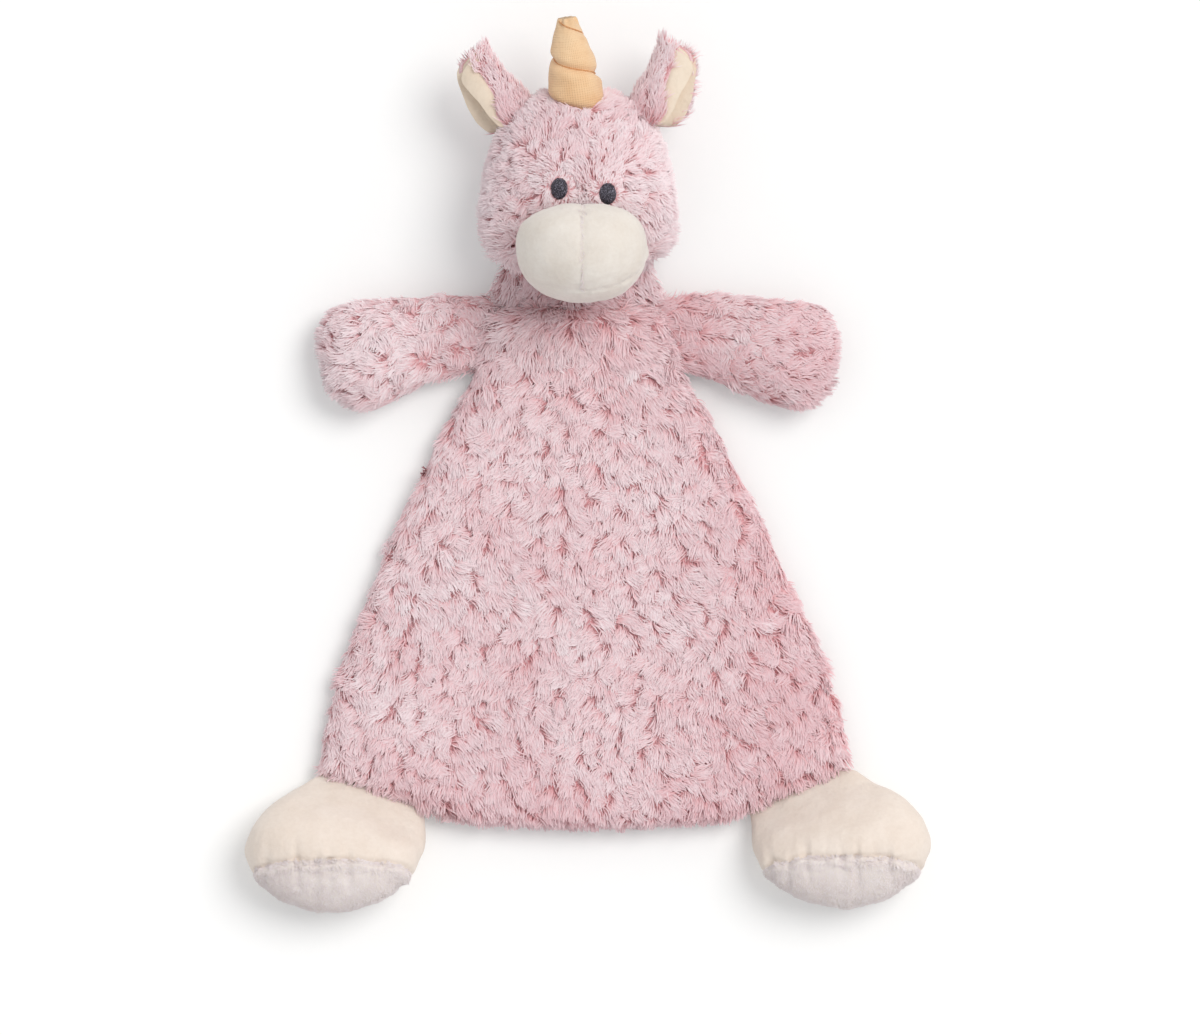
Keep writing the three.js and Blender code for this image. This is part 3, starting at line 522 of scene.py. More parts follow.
def thinned(points, spacing):
    """The indices of points that keep at least a spacing from each other."""
    kept, cells = [], {}
    for i, p in enumerate(points):
        cell = tuple(np.floor(p / spacing).astype(int))
        near = (cells.get((cell[0] + dx, cell[1] + dy, cell[2] + dz), ())
                for dx in (-1, 0, 1) for dy in (-1, 0, 1) for dz in (-1, 0, 1))
        if all(np.dot(p - q, p - q) >= spacing * spacing for found in near for q in found):
            cells.setdefault(cell, []).append(p)
            kept.append(i)
    return np.array(kept)


def nearest(places, points):
    tree = KDTree(len(places))
    for i, p in enumerate(places):
        tree.insert(p, i)
    tree.balance()
    return np.array([tree.find(p)[1] for p in points])


def strand_lines(roots, normals, flow, length, curl, phase):
    """The points of each strand, row by row: it leaves the cloth upright and lies down with the pile."""
    side = unit(np.cross(normals, flow))
    line = [roots]
    for row in range(STRAND_ROWS):
        share = (row + 0.5) / STRAND_ROWS
        lift = LIFT_SHARES[0] + (LIFT_SHARES[1] - LIFT_SHARES[0]) * share ** 0.6
        way = flow * (1 - lift) + normals * lift
        into = np.minimum((way * normals).sum(1, keepdims=True) - 0.08, 0)
        way = unit(way - normals * into)
        sway = side * (curl * np.cos(phase + share * math.pi * 1.5))[:, None]
        line.append(line[-1] + unit(way + sway) * (length / STRAND_ROWS)[:, None])
    return np.stack(line, axis=1)


def grow_fur(name, skin, flow, density, seed, hand=None, keep=None, pile=PILE, shade=0, loose=0, tuft=TUFT,
             turn=TUFT_TURN, half_width=STRAND_HALF_WIDTH):
    """Meshes of fine blades that grow from a cover in tufts. flow gives the nap's direction at points,
    keep which points bear fur, pile its length there, shade how deep the colour is, and loose how little
    the strands there gather in tufts, from 0 to 1."""
    seed += HANDS.get(hand, 0)
    rng = np.random.default_rng(SEED + seed)
    _, _, area = scattered(skin.data, 1, rng)

    def spread(density):
        points, ups, _ = scattered(skin.data, int(area * density), rng)
        kept = keep(points, ups) if keep else slice(None)
        return points[kept], ups[kept]

    roots, normals = spread(density / MM ** 2)
    seeds, seed_normals = spread(SEEDS_PER_TUFT / tuft ** 2)
    apart = TUFT_SEARCH * tuft
    chosen = thinned(seeds + seed_normals * apart, 0.8 * tuft)
    seeds, seed_normals = seeds[chosen], seed_normals[chosen]
    owner = nearest(seeds + seed_normals * apart, roots + normals * apart)
    tufts = len(seeds)
    turns = rng.normal(0, turn, tufts)
    tuft_size = rng.uniform(*TUFT_SIZES, tufts)
    tuft_curl = rng.normal(0, TUFT_CURL, tufts)
    phase = rng.uniform(0, 2 * math.pi, tufts)
    tuft_tone = rng.normal(0, TONE_SPREAD, tufts)

    def grown(places, ups, of, jitter):
        way = unit(flow(places, ups))
        across = np.cross(ups, way)
        angle = turns[of] + jitter * rng.normal(0, 1, len(places))
        way = way * np.cos(angle)[:, None] + across * np.sin(angle)[:, None]
        size = given(pile, places) * (1 - PRESSED_SHARE * smooth_step(-ups[:, 2], 0, 0.5))
        size *= tuft_size[of] * (1 + LENGTH_SPREAD * jitter * rng.uniform(*UNEVENNESS, len(places)))
        return strand_lines(places, ups, way, size, tuft_curl[of], phase[of])

    guides = grown(seeds, seed_normals, np.arange(tufts), 0)
    lines = grown(roots, normals, owner, STRAND_JITTER)
    shares = np.linspace(0, 1, STRAND_ROWS + 1)
    pull = (1 + TUFTING_SPREAD * rng.uniform(*UNEVENNESS, len(roots))) * (1 - given(loose, roots))
    pull = pull[:, None] * TUFTING_SHARE * shares ** 1.3
    lines += (guides[owner] - lines) * pull[:, :, None]
    low = FLOOR_CLEARANCE * (1 + rng.random(len(roots)))[:, None]
    lines[:, :, 2] = np.maximum(lines[:, :, 2], low)
    tone = TONE + tuft_tone[owner] + rng.normal(0, TONE_SPREAD, len(roots))
    tone += TONE_WAVE_HEIGHT * ripple(roots, TONE_WAVE, seed)
    tone = np.clip(tone - SHADE_DEPTH * given(shade, roots, normals), 0, 1)
    pieces = []
    parts = np.array_split(np.argsort(roots[:, 1]), math.ceil(len(roots) / MOST_STRANDS))
    for i, part in enumerate(parts):
        own_name = f"{name}_{i + 1}" if len(parts) > 1 else name
        mesh = ribbon_mesh(own_name, lines[part], normals[part], tone[part], half_width, rng)
        pieces.append(add_object(own_name, mesh))
    return pieces


def ribbon_mesh(name, lines, normals, tone, half_width, rng):
    """One tapered blade for each line. The map's u is the blade's tone and its v runs from root to tip."""
    count, rows = len(lines), STRAND_ROWS + 1
    along = unit(np.gradient(lines, axis=1))
    normals = unit(normals + FACING_UP * smooth_step(normals[:, 2:], UNDERSIDE, 0) * UP)
    flat = unit(np.cross(along, normals[:, None, :]))
    up = np.cross(flat, along)
    roll = rng.normal(0, STRAND_ROLL, count)[:, None, None]
    side = flat * np.cos(roll) + up * np.sin(roll)
    face = up * np.cos(roll) - flat * np.sin(roll)
    soft = unit(SOFTNESS * normals[:, None, :] + (1 - SOFTNESS) * face)
    shares = np.linspace(0, 1, rows)
    half = half_width * np.array(WIDTH_SHARES)[None, :, None] * rng.uniform(0.7, 1.3, (count, 1, 1))
    co = np.stack([lines - side * half, lines + side * half], axis=2)
    per = 2 * rows
    # A blade's corners are even on its left side and odd on its right one
    faces = np.array([(k, k + 1, k + 3, k, k + 3, k + 2) for k in range(0, per - 2, 2)]).reshape(-1, 3)
    triangles = (np.arange(count)[:, None, None] * per + faces[None]).reshape(-1, 3)
    mesh = bpy.data.meshes.new(name)
    mesh.vertices.add(count * per)
    mesh.vertices.foreach_set("co", co.astype(np.float32).ravel())
    mesh.loops.add(triangles.size)
    mesh.loops.foreach_set("vertex_index", triangles.astype(np.int32).ravel())
    mesh.polygons.add(len(triangles))
    mesh.polygons.foreach_set("loop_start", np.arange(0, triangles.size, 3, dtype=np.int32))
    mesh.update(calc_edges=True)
    column = (np.floor(tone * (TONE_COLUMNS - 0.01)) + 0.5) / TONE_COLUMNS
    u = column[:, None, None] + 0.35 / TONE_COLUMNS * np.where(faces % 2, 1, -1)[None]
    v = np.broadcast_to(0.02 + 0.96 * shares[faces // 2][None], u.shape)
    places = np.stack([u, v], axis=-1).astype(np.float32)
    mesh.uv_layers.new(name=FUR_MAP).data.foreach_set("uv", places.ravel())
    shade_smooth(mesh)
    mesh.normals_split_custom_set_from_vertices(np.repeat(soft, 2, axis=1).reshape(-1, 3))
    return mesh


# Materials

class Nodes:
    """A node tree whose nodes are added one at a time."""

    def __init__(self, tree):
        self.tree = tree

    def node(self, kind, settings=None, **inputs):
        """Feeds the inputs by name, or by number as i0, i1 and so on."""
        made = self.tree.nodes.new(kind)
        for key, value in (settings or {}).items():
            setattr(made, key, value)
        for key, value in inputs.items():
            self.feed(made.inputs[int(key[1:]) if key[0] == "i" and key[1:].isdigit() else key], value)
        return made

    def feed(self, socket, value):
        """Links another node's output or sets a constant. None leaves the socket as it is."""
        if isinstance(value, bpy.types.NodeSocket):
            self.tree.links.new(value, socket)
        elif value is not None:
            socket.default_value = value

    def calc(self, operation, first, second=0.0):
        return self.node("ShaderNodeMath", {"operation": operation}, i0=first, i1=second).outputs[0]

    def seen(self):
        """1 for what the camera and glossy pieces see, and 0 for what lights the object."""
        path = self.node("ShaderNodeLightPath").outputs
        return self.calc("MAXIMUM", path["Is Camera Ray"], path["Is Glossy Ray"])


class Look(Nodes):
    """A Principled material. Its constants are set on the shader's own sockets."""

    def __init__(self, name, **sockets):
        self.material = bpy.data.materials.new(name)
        self.material.use_nodes = True
        super().__init__(self.material.node_tree)
        self.surface = self.tree.nodes["Principled BSDF"]
        for key, value in sockets.items():
            self.surface.inputs[key.replace("_", " ")].default_value = value

    def rest(self):
        return self.node("ShaderNodeAttribute", {"attribute_name": "rest"}).outputs["Vector"]

    def ramp(self, value, stops):
        made = self.node("ShaderNodeValToRGB", Fac=value)
        elements = made.color_ramp.elements
        while len(elements) < len(stops):
            elements.new(0.5)
        for element, (place, colour) in zip(elements, stops):
            element.position = place
            element.color = (*colour, 1)
        return made.outputs["Color"]

    def mix(self, share, first, second):
        made = self.node("ShaderNodeMix", {"data_type": "RGBA"}, Factor=share, i6=first, i7=second)
        return made.outputs[2]

    def noise(self, vector, size, detail=3, roughness=0.6):
        return self.node("ShaderNodeTexNoise", Vector=vector, Scale=1 / size, Detail=detail,
                         Roughness=roughness).outputs["Fac"]

    def scaled(self, vector, scale):
        return self.node("ShaderNodeVectorMath", {"operation": "MULTIPLY"}, i0=vector, i1=scale).outputs[0]

    def range(self, value, low, high, to_low, to_high):
        ends = {"From Min": low, "From Max": high, "To Min": to_low, "To Max": to_high}
        return self.node("ShaderNodeMapRange", Value=value, **ends).outputs["Result"]

    def bump(self, height, distance, strength=1.0, normal=None):
        return self.node("ShaderNodeBump", Height=height, Distance=distance, Strength=strength,
                         Normal=normal).outputs["Normal"]

    def wear(self, colour, roughness, normal=None):
        for key, value in {"Base Color": colour, "Roughness": roughness, "Normal": normal}.items():
            self.feed(self.surface.inputs[key], value)
        return self.material


def srgb(red, green, blue):
    """A colour written as on a screen, from 0 to 255, as the linear values that nodes take."""
    shares = [c / 255 for c in (red, green, blue)]
    return tuple(s / 12.92 if s <= 0.04045 else ((s + 0.055) / 1.055) ** 2.4 for s in shares)


DEEP_ROSE = srgb(222, 136, 140)
ROSE = srgb(240, 188, 191)
PINK = srgb(250, 224, 227)
DULL_PINK = srgb(246, 212, 216)
PALE_PINK = srgb(254, 240, 242)
CREAM = srgb(241, 234, 225)
LINING_CREAM = srgb(243, 227, 207)
FOOT_CREAM = srgb(247, 234, 222)
SOLE_CREAM = srgb(242, 233, 228)
PEACH = srgb(250, 215, 173)
SLATE = srgb(38, 32, 43)
SLATE_GLINT = srgb(150, 146, 164)
DARK_PEACH = srgb(232, 178, 124)
PEACH_THREAD = srgb(214, 148, 92)
PEACH_GLINT = srgb(238, 186, 134)
# From root to tip, on the deepest and on the palest strands; the deeper roots are painted shade and bounced
# rose light in the pile
FUR_RAMPS = (
    [(0.0, DEEP_ROSE), (0.5, ROSE), (0.8, DULL_PINK), (1.0, DULL_PINK)],
    [(0.0, DEEP_ROSE), (0.25, ROSE), (0.5, PINK), (0.8, PALE_PINK)],
)
# From root to tip, deep and pale; the deeper roots are painted shade in the pile
CREAM_PILE_RAMPS = (
    [(0.0, srgb(222, 205, 198)), (0.6, srgb(234, 221, 220))],
    [(0.0, srgb(236, 223, 214)), (0.6, srgb(246, 238, 237))],
)


def blade_look(name, ramps, tip_roughness, **sockets):
    """Strands whose colour runs from root to tip, and from a deep ramp to a pale one with their tone."""
    look = Look(name, Sheen_Roughness=0.5, **sockets)
    places = look.node("ShaderNodeUVMap", {"uv_map": FUR_MAP}).outputs["UV"]
    tone, height, _ = look.node("ShaderNodeSeparateXYZ", Vector=places).outputs
    colour = look.mix(tone, *(look.ramp(height, ramp) for ramp in ramps))
    return look.wear(colour, look.range(height, 0, 1, 0.95, tip_roughness))


def backing_look():
    """The knitted backing that shows in the pile's partings."""
    look = Look("plush_backing", Sheen_Weight=0.3, Specular_IOR_Level=0.2)
    rest = look.rest()
    colour = look.ramp(look.noise(rest, 2.5 * MM), [(0.3, ROSE), (0.7, PINK)])
    return look.wear(colour, 0.95, look.bump(look.noise(rest, 0.8 * MM), 0.5 * MM))


def velour_look(name, base, nap=(1, 1, 1)):
    """Short dense pile with patches and strokes a little darker: painted sheen, as where the nap is brushed
    the other way.
    nap stretches its strokes."""
    look = Look(name, Sheen_Weight=0.4, Sheen_Roughness=0.4, Specular_IOR_Level=0.25)
    rest = look.rest()
    darker = tuple(c * s for c, s in zip(base, (0.9, 0.87, 0.84)))
    # Painted sheen: darker patches and strokes in the pile
    sheen_patches = look.ramp(look.noise(rest, 16 * MM, 2), [(0.35, (1, 1, 1)), (0.7, (0, 0, 0))])
    sheen_strokes = look.noise(look.scaled(rest, nap), 1.6 * MM, 4)
    sheen_strokes = look.ramp(sheen_strokes, [(0.4, (0, 0, 0)), (0.75, (1, 1, 1))])
    colour = look.mix(look.mix(0.35, sheen_patches, sheen_strokes), (*base, 1), (*darker, 1))
    pile = look.noise(look.scaled(rest, nap), 0.45 * MM, 2)
    roughness = look.range(pile, 0.3, 0.7, 0.78, 0.95)
    soft = look.bump(look.noise(rest, 7 * MM, 2), 0.8 * MM)
    return look.wear(colour, roughness, look.bump(pile, 0.16 * MM, 0.8, soft))


def horn_look():
    """Ribbed cloth. The attribute weave holds the cloth's own two directions, in metres."""
    look = Look("horn_cloth", Sheen_Weight=0.3, Specular_IOR_Level=0.25)
    places = look.node("ShaderNodeAttribute", {"attribute_name": "weave"}).outputs["Vector"]
    parts = look.node("ShaderNodeSeparateXYZ", Vector=places)

    def threads(value, pitch):
        return look.calc("SINE", look.calc("MULTIPLY", value, 2 * math.pi / pitch))

    across = threads(parts.outputs["Y"], 0.95 * MM)
    around = threads(parts.outputs["X"], 1.05 * MM)
    weave = look.calc("ADD", across, around)
    fuzz = look.noise(look.rest(), 0.5 * MM, 2)
    mottle = look.range(look.noise(look.rest(), 6 * MM), 0.35, 0.75, 0, 0.35)
    # Darker in the weave's hollows: painted shade
    rib_shade = look.range(weave, -2, 2, 0.12, 0)
    base = look.range(parts.outputs["Y"], 2 * MM, 22 * MM, 0.3, 0)
    share = look.calc("ADD", look.calc("ADD", mottle, rib_shade), base)
    colour = look.mix(share, (*PEACH, 1), (*DARK_PEACH, 1))
    normal = look.bump(weave, 0.1 * MM, 0.55, look.bump(fuzz, 0.15 * MM, 0.5))
    return look.wear(colour, look.range(fuzz, 0.3, 0.7, 0.8, 0.95), normal)


def thread_look(name, base, glint, size):
    look = Look(name, Specular_IOR_Level=0.45, Sheen_Weight=0.05)
    rest = look.rest()
    # Patches of the lighter colour are painted glints on the thread
    colour = look.ramp(look.noise(rest, size, 3), [(0.5, base), (0.68, glint)])
    return look.wear(colour, 0.38, look.bump(look.noise(rest, 0.25 * MM, 2), 0.1 * MM))


# Stage

def set_camera():
    data = bpy.data.cameras.new("camera")
    data.sensor_width = SENSOR
    data.lens = SENSOR * (CAMERA_HEIGHT - VIEW_LEVEL) / (IMAGE_WIDTH * PIXEL)
    data.clip_end = CLIP_END
    camera = add_object("camera", data)
    camera.location = (*VIEW_CENTRE, CAMERA_HEIGHT)
    bpy.context.scene.camera = camera


def add_key_light():
    """A broad soft light from above the upper right, as even over the floor as a large window's."""
    data = bpy.data.lights.new("key", "SUN")
    data.angle = KEY_ANGLE
    data.energy = KEY_STRENGTH
    data.color = KEY_COLOUR
    lamp = add_object("key", data)
    lamp.location = KEY_PLACE
    lamp.rotation_euler = (-Vector(KEY_PLACE)).to_track_quat("-Z", "Y").to_euler()


def set_stage():
    scene = bpy.context.scene
    scene.view_settings.view_transform = "Standard"
    world = bpy.data.worlds.new("studio")
    world.use_nodes = True
    scene.world = world
    nodes = Nodes(world.node_tree)
    light = nodes.tree.nodes["Background"]
    light.inputs["Color"].default_value = SKY_COLOUR
    light.inputs["Strength"].default_value = SKY_STRENGTH
    white = nodes.node("ShaderNodeBackground", Color=WHITE)
    mix = nodes.node("ShaderNodeMixShader", i0=nodes.seen(), i1=light.outputs[0], i2=white.outputs[0])
    nodes.feed(nodes.tree.nodes["World Output"].inputs["Surface"], mix.outputs[0])
    add_key_light()
    add_floor()


def add_floor():
    mesh = bpy.data.meshes.new("floor")
    corners = [(x * FLOOR_SIZE, y * FLOOR_SIZE, 0) for x, y in ((-1, -1), (1, -1), (1, 1), (-1, 1))]
    mesh.from_pydata(corners, [], [(0, 1, 2, 3)])
    floor = add_object("floor", mesh)
    look = Look("floor", Base_Color=FLOOR_COLOUR, Emission_Color=WHITE, Roughness=0.9,
                Specular_IOR_Level=0.0)
    look.feed(look.surface.inputs["Emission Strength"], look.calc("MULTIPLY", look.seen(), FLOOR_GLOW))
    mesh.materials.append(look.material)


# Pieces

def dress_fur(furs, material, body=None):
    for fur in furs:
        fur.data.materials.append(material)
        if body:
            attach(fur, body)
    return furs


def blanket_flow(points, normals):
    low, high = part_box("blanket_front_panel")
    side = (points[:, 0] - (low.x + high.x) / 2) / ((high.x - low.x) / 2)
    chest = bell(high.y - points[:, 1], CHEST_REACH)
    fan = np.clip((points[:, 0] - joint_frame("neck_nod")[0][0]) / (20 * MM), -1.5, 1.5) * chest
    sway = 0.5 * side + 0.8 * fan + 0.4 * ripple(points * [1, 1, 0], 60 * MM, 3)
    return np.stack([sway, np.full(len(points), -1.0), np.zeros(len(points))], axis=1)


def blanket_shade(points, normals):
    """Deeper on the chest and along the hem; painted shade to the right and in the creases at the arms."""
    low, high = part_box("blanket_front_panel")
    chest = smooth_step(points[:, 1], high.y - 34 * MM, high.y - 8 * MM)
    hem = 1 - smooth_step(points[:, 1], low.y + 4 * MM, low.y + 60 * MM)
    # Painted shade: deeper to the right, and in the creases round the arms' folds
    right = smooth_step(points[:, 0], 0.2 * high.x, 0.8 * high.x)
    folds = [joint_frame(f"arm_{hand}_fold")[0] for hand in HANDS]
    crease_shade = sum(bell(np.linalg.norm((points - fold)[:, :2], axis=1), 13 * MM) for fold in folds)
    return 0.8 * chest + 0.9 * hem + 1.3 * right + 0.7 * crease_shade


def make_blanket(looks):
    nodes = ("blanket_front_panel", "blanket_back_panel")
    cover = cover_of("blanket_cover", nodes, 3 * MM)
    draw_in(cover, PLUSH_INSET, 4)
    dress(cover, looks["backing"], "plush", *nodes)
    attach(cover, "blanket")
    low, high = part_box(nodes[0])

    def pile(points):
        chest = 0.3 * bell(high.y - points[:, 1], CHEST_REACH)
        above_hem = smooth_step(points[:, 1], low.y + HEM_PILE[0], low.y + HEM_PILE[1])
        return PILE * (HEM_PILE_SHARE + chest + (1 - HEM_PILE_SHARE) * above_hem)

    front = grow_fur("blanket_fur_front", cover, blanket_flow, keep=lambda p, n: n[:, 2] > SIDE_FACING,
                     pile=pile, shade=blanket_shade, **FURS["blanket_front"])
    back = grow_fur("blanket_fur_back", cover, blanket_flow, keep=lambda p, n: n[:, 2] <= SIDE_FACING,
                    pile=pile, shade=blanket_shade, **FURS["blanket_back"])
    furs = dress_fur(front + back, looks["fur"], "blanket")


def make_neck(looks):
    nodes = ("neck_cover", "neck_filling")
    place, _ = joint_frame("neck_nod")
    cover = cover_of("neck_skin", nodes, 2 * MM)
    co = coords(cover.data)
    co[:, 1] = place[1] + (co[:, 1] - place[1]) * NECK_STRETCH
    flare = smooth_step(place[1] - co[:, 1], -6 * MM, 8 * MM)
    co[:, 0] = place[0] + (co[:, 0] - place[0]) * (1 + NECK_FLARE * flare)
    set_coords(cover.data, co)
    draw_in(cover, PLUSH_INSET * 0.8, 4)
    dress(cover, looks["backing"], "plush", *nodes)
    flow = lambda points, normals: TO_HEM * 0.8 + 0.8 * unit((points - place) * [1, 0, 1])
    shade = lambda p, n: 0.9 - 1.5 * smooth_step(np.abs(p[:, 0] - place[0]), 12 * MM, 26 * MM)
    fur = grow_fur("neck_fur", cover, flow, shade=shade, **FURS["neck"])
    for piece in (cover, *dress_fur(fur, looks["fur"])):
        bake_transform(piece)


def make_muzzle(looks):
    left, right, chin = panels = [f"muzzle_{part}_panel" for part in ("left", "right", "chin")]
    nodes = (*panels, "muzzle_filling")
    middle = across_seam([left], [right])
    below = across_seam([left, right], [chin])
    muzzle = stuffed("muzzle_cover", nodes, 0.2 * MM, (middle, below), voxel=3.4 * MM)
    co = coords(muzzle.data)
    low, high = union_box(panels)
    shape_centre, half = ((low + high) / 2)[:2], ((high - low) / 2)[:2]
    flat = (co[:, :2] - shape_centre) / half
    full_reach = (np.abs(flat) ** 2.7).sum(1) ** (1 / 2.7)
    fuller = np.where(flat[:, 1] > 0, np.linalg.norm(flat, axis=1) / np.maximum(full_reach, 1e-6), 1)
    co[:, :2] = shape_centre + (co[:, :2] - shape_centre) * fuller[:, None]
    set_coords(muzzle.data, co)
    across, down = middle(co), below(co)
    groove = 0.42 * MM * bell(across, MM) * (down < 0) + 0.4 * MM * bell(down, 1.1 * MM)
    pucker = 0.4 * MM * np.maximum(ripple(co, 6 * MM, 70), 0) * (
        np.exp(-np.abs(down) / (3 * MM)) + 0.6 * np.exp(-np.abs(across) / (3 * MM)))
    soft = 0.25 * MM * ripple(co, 20 * MM, 71)
    set_coords(muzzle.data, co + vertex_normals(muzzle.data) * (soft - groove - pucker)[:, None])
    dress(muzzle, looks["velour"], "cream_velour", *nodes)
    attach(muzzle, "head")
    keep = lambda p, n: (np.abs(middle(p)) < 0.6 * MM) & (below(p) < 0) & (n[:, 2] > 0.1)
    flow = lambda points, normals: TO_HEM + 0.8 * ripple(points, 3 * MM, 72)[:, None] * np.array([1.0, 0, 0])
    fur = grow_fur("muzzle_seam_pile", muzzle, flow, keep=keep, **FURS["muzzle"])
    dress_fur(fur, looks["pile"], "head")
    return muzzle


def eye_centres():
    return [np.array(sum(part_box(f"eye_{hand}"), Vector())) / 2 for hand in HANDS]


def near_eyes(points):
    """1 at an eye, falling to 0 at FACE_REACH from it."""
    away = np.min([np.linalg.norm(points - c, axis=1) for c in eye_centres()], axis=0)
    return 1 - smooth_step(away, EYE_REACH, FACE_REACH)


def head_flow(points, normals):
    """The nap runs away from the eyes, and towards the hem at the back of the head."""
    eyes = np.stack(eye_centres())
    way = unit(points - eyes.mean(axis=0) - FACE_SOURCE)
    index = np.argmin(np.linalg.norm(points[:, None] - eyes[None], axis=2), axis=1)
    from_eye = unit(points - eyes[index])
    share = 0.7 * near_eyes(points)[:, None]
    behind = 1 - smooth_step(points[:, 2], *NAPE_HEIGHTS)[:, None]
    way = way * (1 - share) + from_eye * share
    swirl = np.cross(UP, way) * (0.6 * ripple(points, 26 * MM, 5))[:, None]
    return way * (1 - 0.8 * behind) + TO_HEM * 0.8 * behind + swirl


def make_head(muzzle, looks):
    nodes = ("head_front_panel", "head_back_panel", "head_filling")
    inset = lambda co: HEAD_INSET + (FACE_INSET - HEAD_INSET) * near_eyes(co)
    cover = stuffed("head_cover", nodes, inset, [across_seam(nodes[:1], nodes[1:2])], levels=1)
    low, high = union_box(nodes)
    low, high = low + HEAD_INSETS[0], high - HEAD_INSETS[1]
    fit(cover, low, high)
    co = coords(cover.data)
    share = near_eyes(co) * (co[:, 2] > (low[2] + high[2]) / 2)
    for i in np.flatnonzero(share):
        co[i, 2] += share[i] * (top_of(nodes[0], *co[i, :2]) - FACE_INSET - co[i, 2])
    set_coords(cover.data, co)
    dress(cover, looks["backing"], "plush", *nodes)
    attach(cover, "head")

    def keep(points, normals):
        bare = outside(points, muzzle) < -0.5 * MM
        for eye in eye_centres():
            bare |= (((points - eye) / EYE_OPENING) ** 2).sum(1) < 1
        return ~bare

    # Paler pile at the head's sides: painted light, where they turn from the lamp
    def sides(points):
        return smooth_step(np.abs(2 * points[:, 0] - low[0] - high[0]) / (high[0] - low[0]), 0.55, 0.95)

    chin = lambda points: 1 - smooth_step(points[:, 1], low[1] + 2 * MM, low[1] + 16 * MM)
    fur = grow_fur("head_fur", cover, head_flow, keep=keep, **FURS["head"],
                   pile=lambda p: PILE * (0.78 - 0.4 * near_eyes(p) + 0.35 * chin(p)),
                   shade=lambda p, n: -0.6 - 0.6 * near_eyes(p) - 0.8 * sides(p),
                   loose=lambda p: 0.2 + 0.6 * near_eyes(p) + 0.5 * sides(p))
    dress_fur(fur, looks["fur"], "head")


def horn_radius(share, angle):
    """The horn's radius: it tapers, and a spiral groove draws it in."""
    turns = (share - HORN_GROOVE_START) * HORN_LENGTH / HORN_PITCH + angle / (2 * math.pi)
    wave = np.maximum(np.cos(2 * math.pi * turns), 0)
    groove = HORN_GROOVE * 0.8 * (wave ** 6 + 0.45 * wave ** 2) * smooth_step(1 - share, 0.05, 0.45)
    return HORN_RADIUS * np.interp(share, *np.transpose(HORN_TAPER)) - groove


def horn_way(lean):
    flat = math.cos(HORN_RISE)
    return np.array([-math.sin(lean) * flat, math.cos(lean) * flat, math.sin(HORN_RISE)])


def make_horn(looks):
    solid, along = horn_way(HORN_LEAN), horn_way(HORN_LEAN + HORN_EXTRA_LEAN)
    left = unit(np.cross(UP, along))
    up = np.cross(along, left)
    cover = coords(frame["nodes"]["horn_cover"].data)
    end = cover[cover @ solid > (cover @ solid).max() - 0.1 * MM].mean(axis=0)
    end[0] += HORN_SHIFT
    root = end - along * HORN_LENGTH

    def placed(x, radius, angle):
        return (root + along * x[..., None] + (radius * np.cos(angle))[..., None] * left
                + (radius * np.sin(angle))[..., None] * up)

    rows, columns = 150, 96
    x, angle = np.meshgrid(np.linspace(-HORN_ROOT, HORN_LENGTH, rows),
                           2 * math.pi * np.arange(columns) / columns, indexing="ij")
    share = x / HORN_LENGTH
    gathers = 0.13 * np.cos(7 * angle) + 0.05 * np.cos(11 * angle + 1)
    radius = horn_radius(share, angle) * (1 - smooth_step(share, 0.86, 1.0) * gathers)
    points = placed(x, radius, angle)
    soft = 0.2 * MM * ripple(points.reshape(-1, 3), 9 * MM, 90).reshape(rows, columns, 1)
    points += soft * unit(points - placed(x, 0 * radius, angle))
    corners = [*points.reshape(-1, 3), root - along * HORN_ROOT, root + along * (HORN_LENGTH - 0.8 * MM)]
    faces = ring_faces(rows, columns)
    first, last = rows * columns, (rows - 1) * columns
    for j in range(columns):
        k = (j + 1) % columns
        faces += [(first, k, j), (first + 1, last + j, last + k)]
    horn = joined("horn_cloth", [(corners, faces)])
    cloth = np.zeros((len(corners), 3))
    cloth[:-2, 0] = (angle * HORN_RADIUS).ravel()
    cloth[:-2, 1] = x.ravel()
    keep_places(horn.data, "weave", cloth)
    dress(horn, looks["horn"], "horn_velour", "horn_cover", "horn_filling")
    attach(horn, "head")

    turns = np.linspace(0, HORN_THREAD_TURNS, 150)
    share = HORN_GROOVE_START + turns * HORN_PITCH / HORN_LENGTH
    wound = -2 * math.pi * turns
    strands = []
    for ply in range(2):
        twist = 2 * math.pi * (turns * HORN_THREAD_TWISTS + ply / 2)
        radius = horn_radius(share, wound) + HORN_THREAD_RADIUS * (0.5 + 0.55 * np.cos(twist))
        x = share * HORN_LENGTH + HORN_THREAD_RADIUS * 0.55 * np.sin(twist)
        strands.append(tube(placed(x, radius, wound), np.full(len(turns), HORN_THREAD_RADIUS * 0.62), 5))
    thread = dress(joined("horn_wound_thread", strands), looks["thread"], "horn_thread", "horn_thread")
    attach(thread, "head")


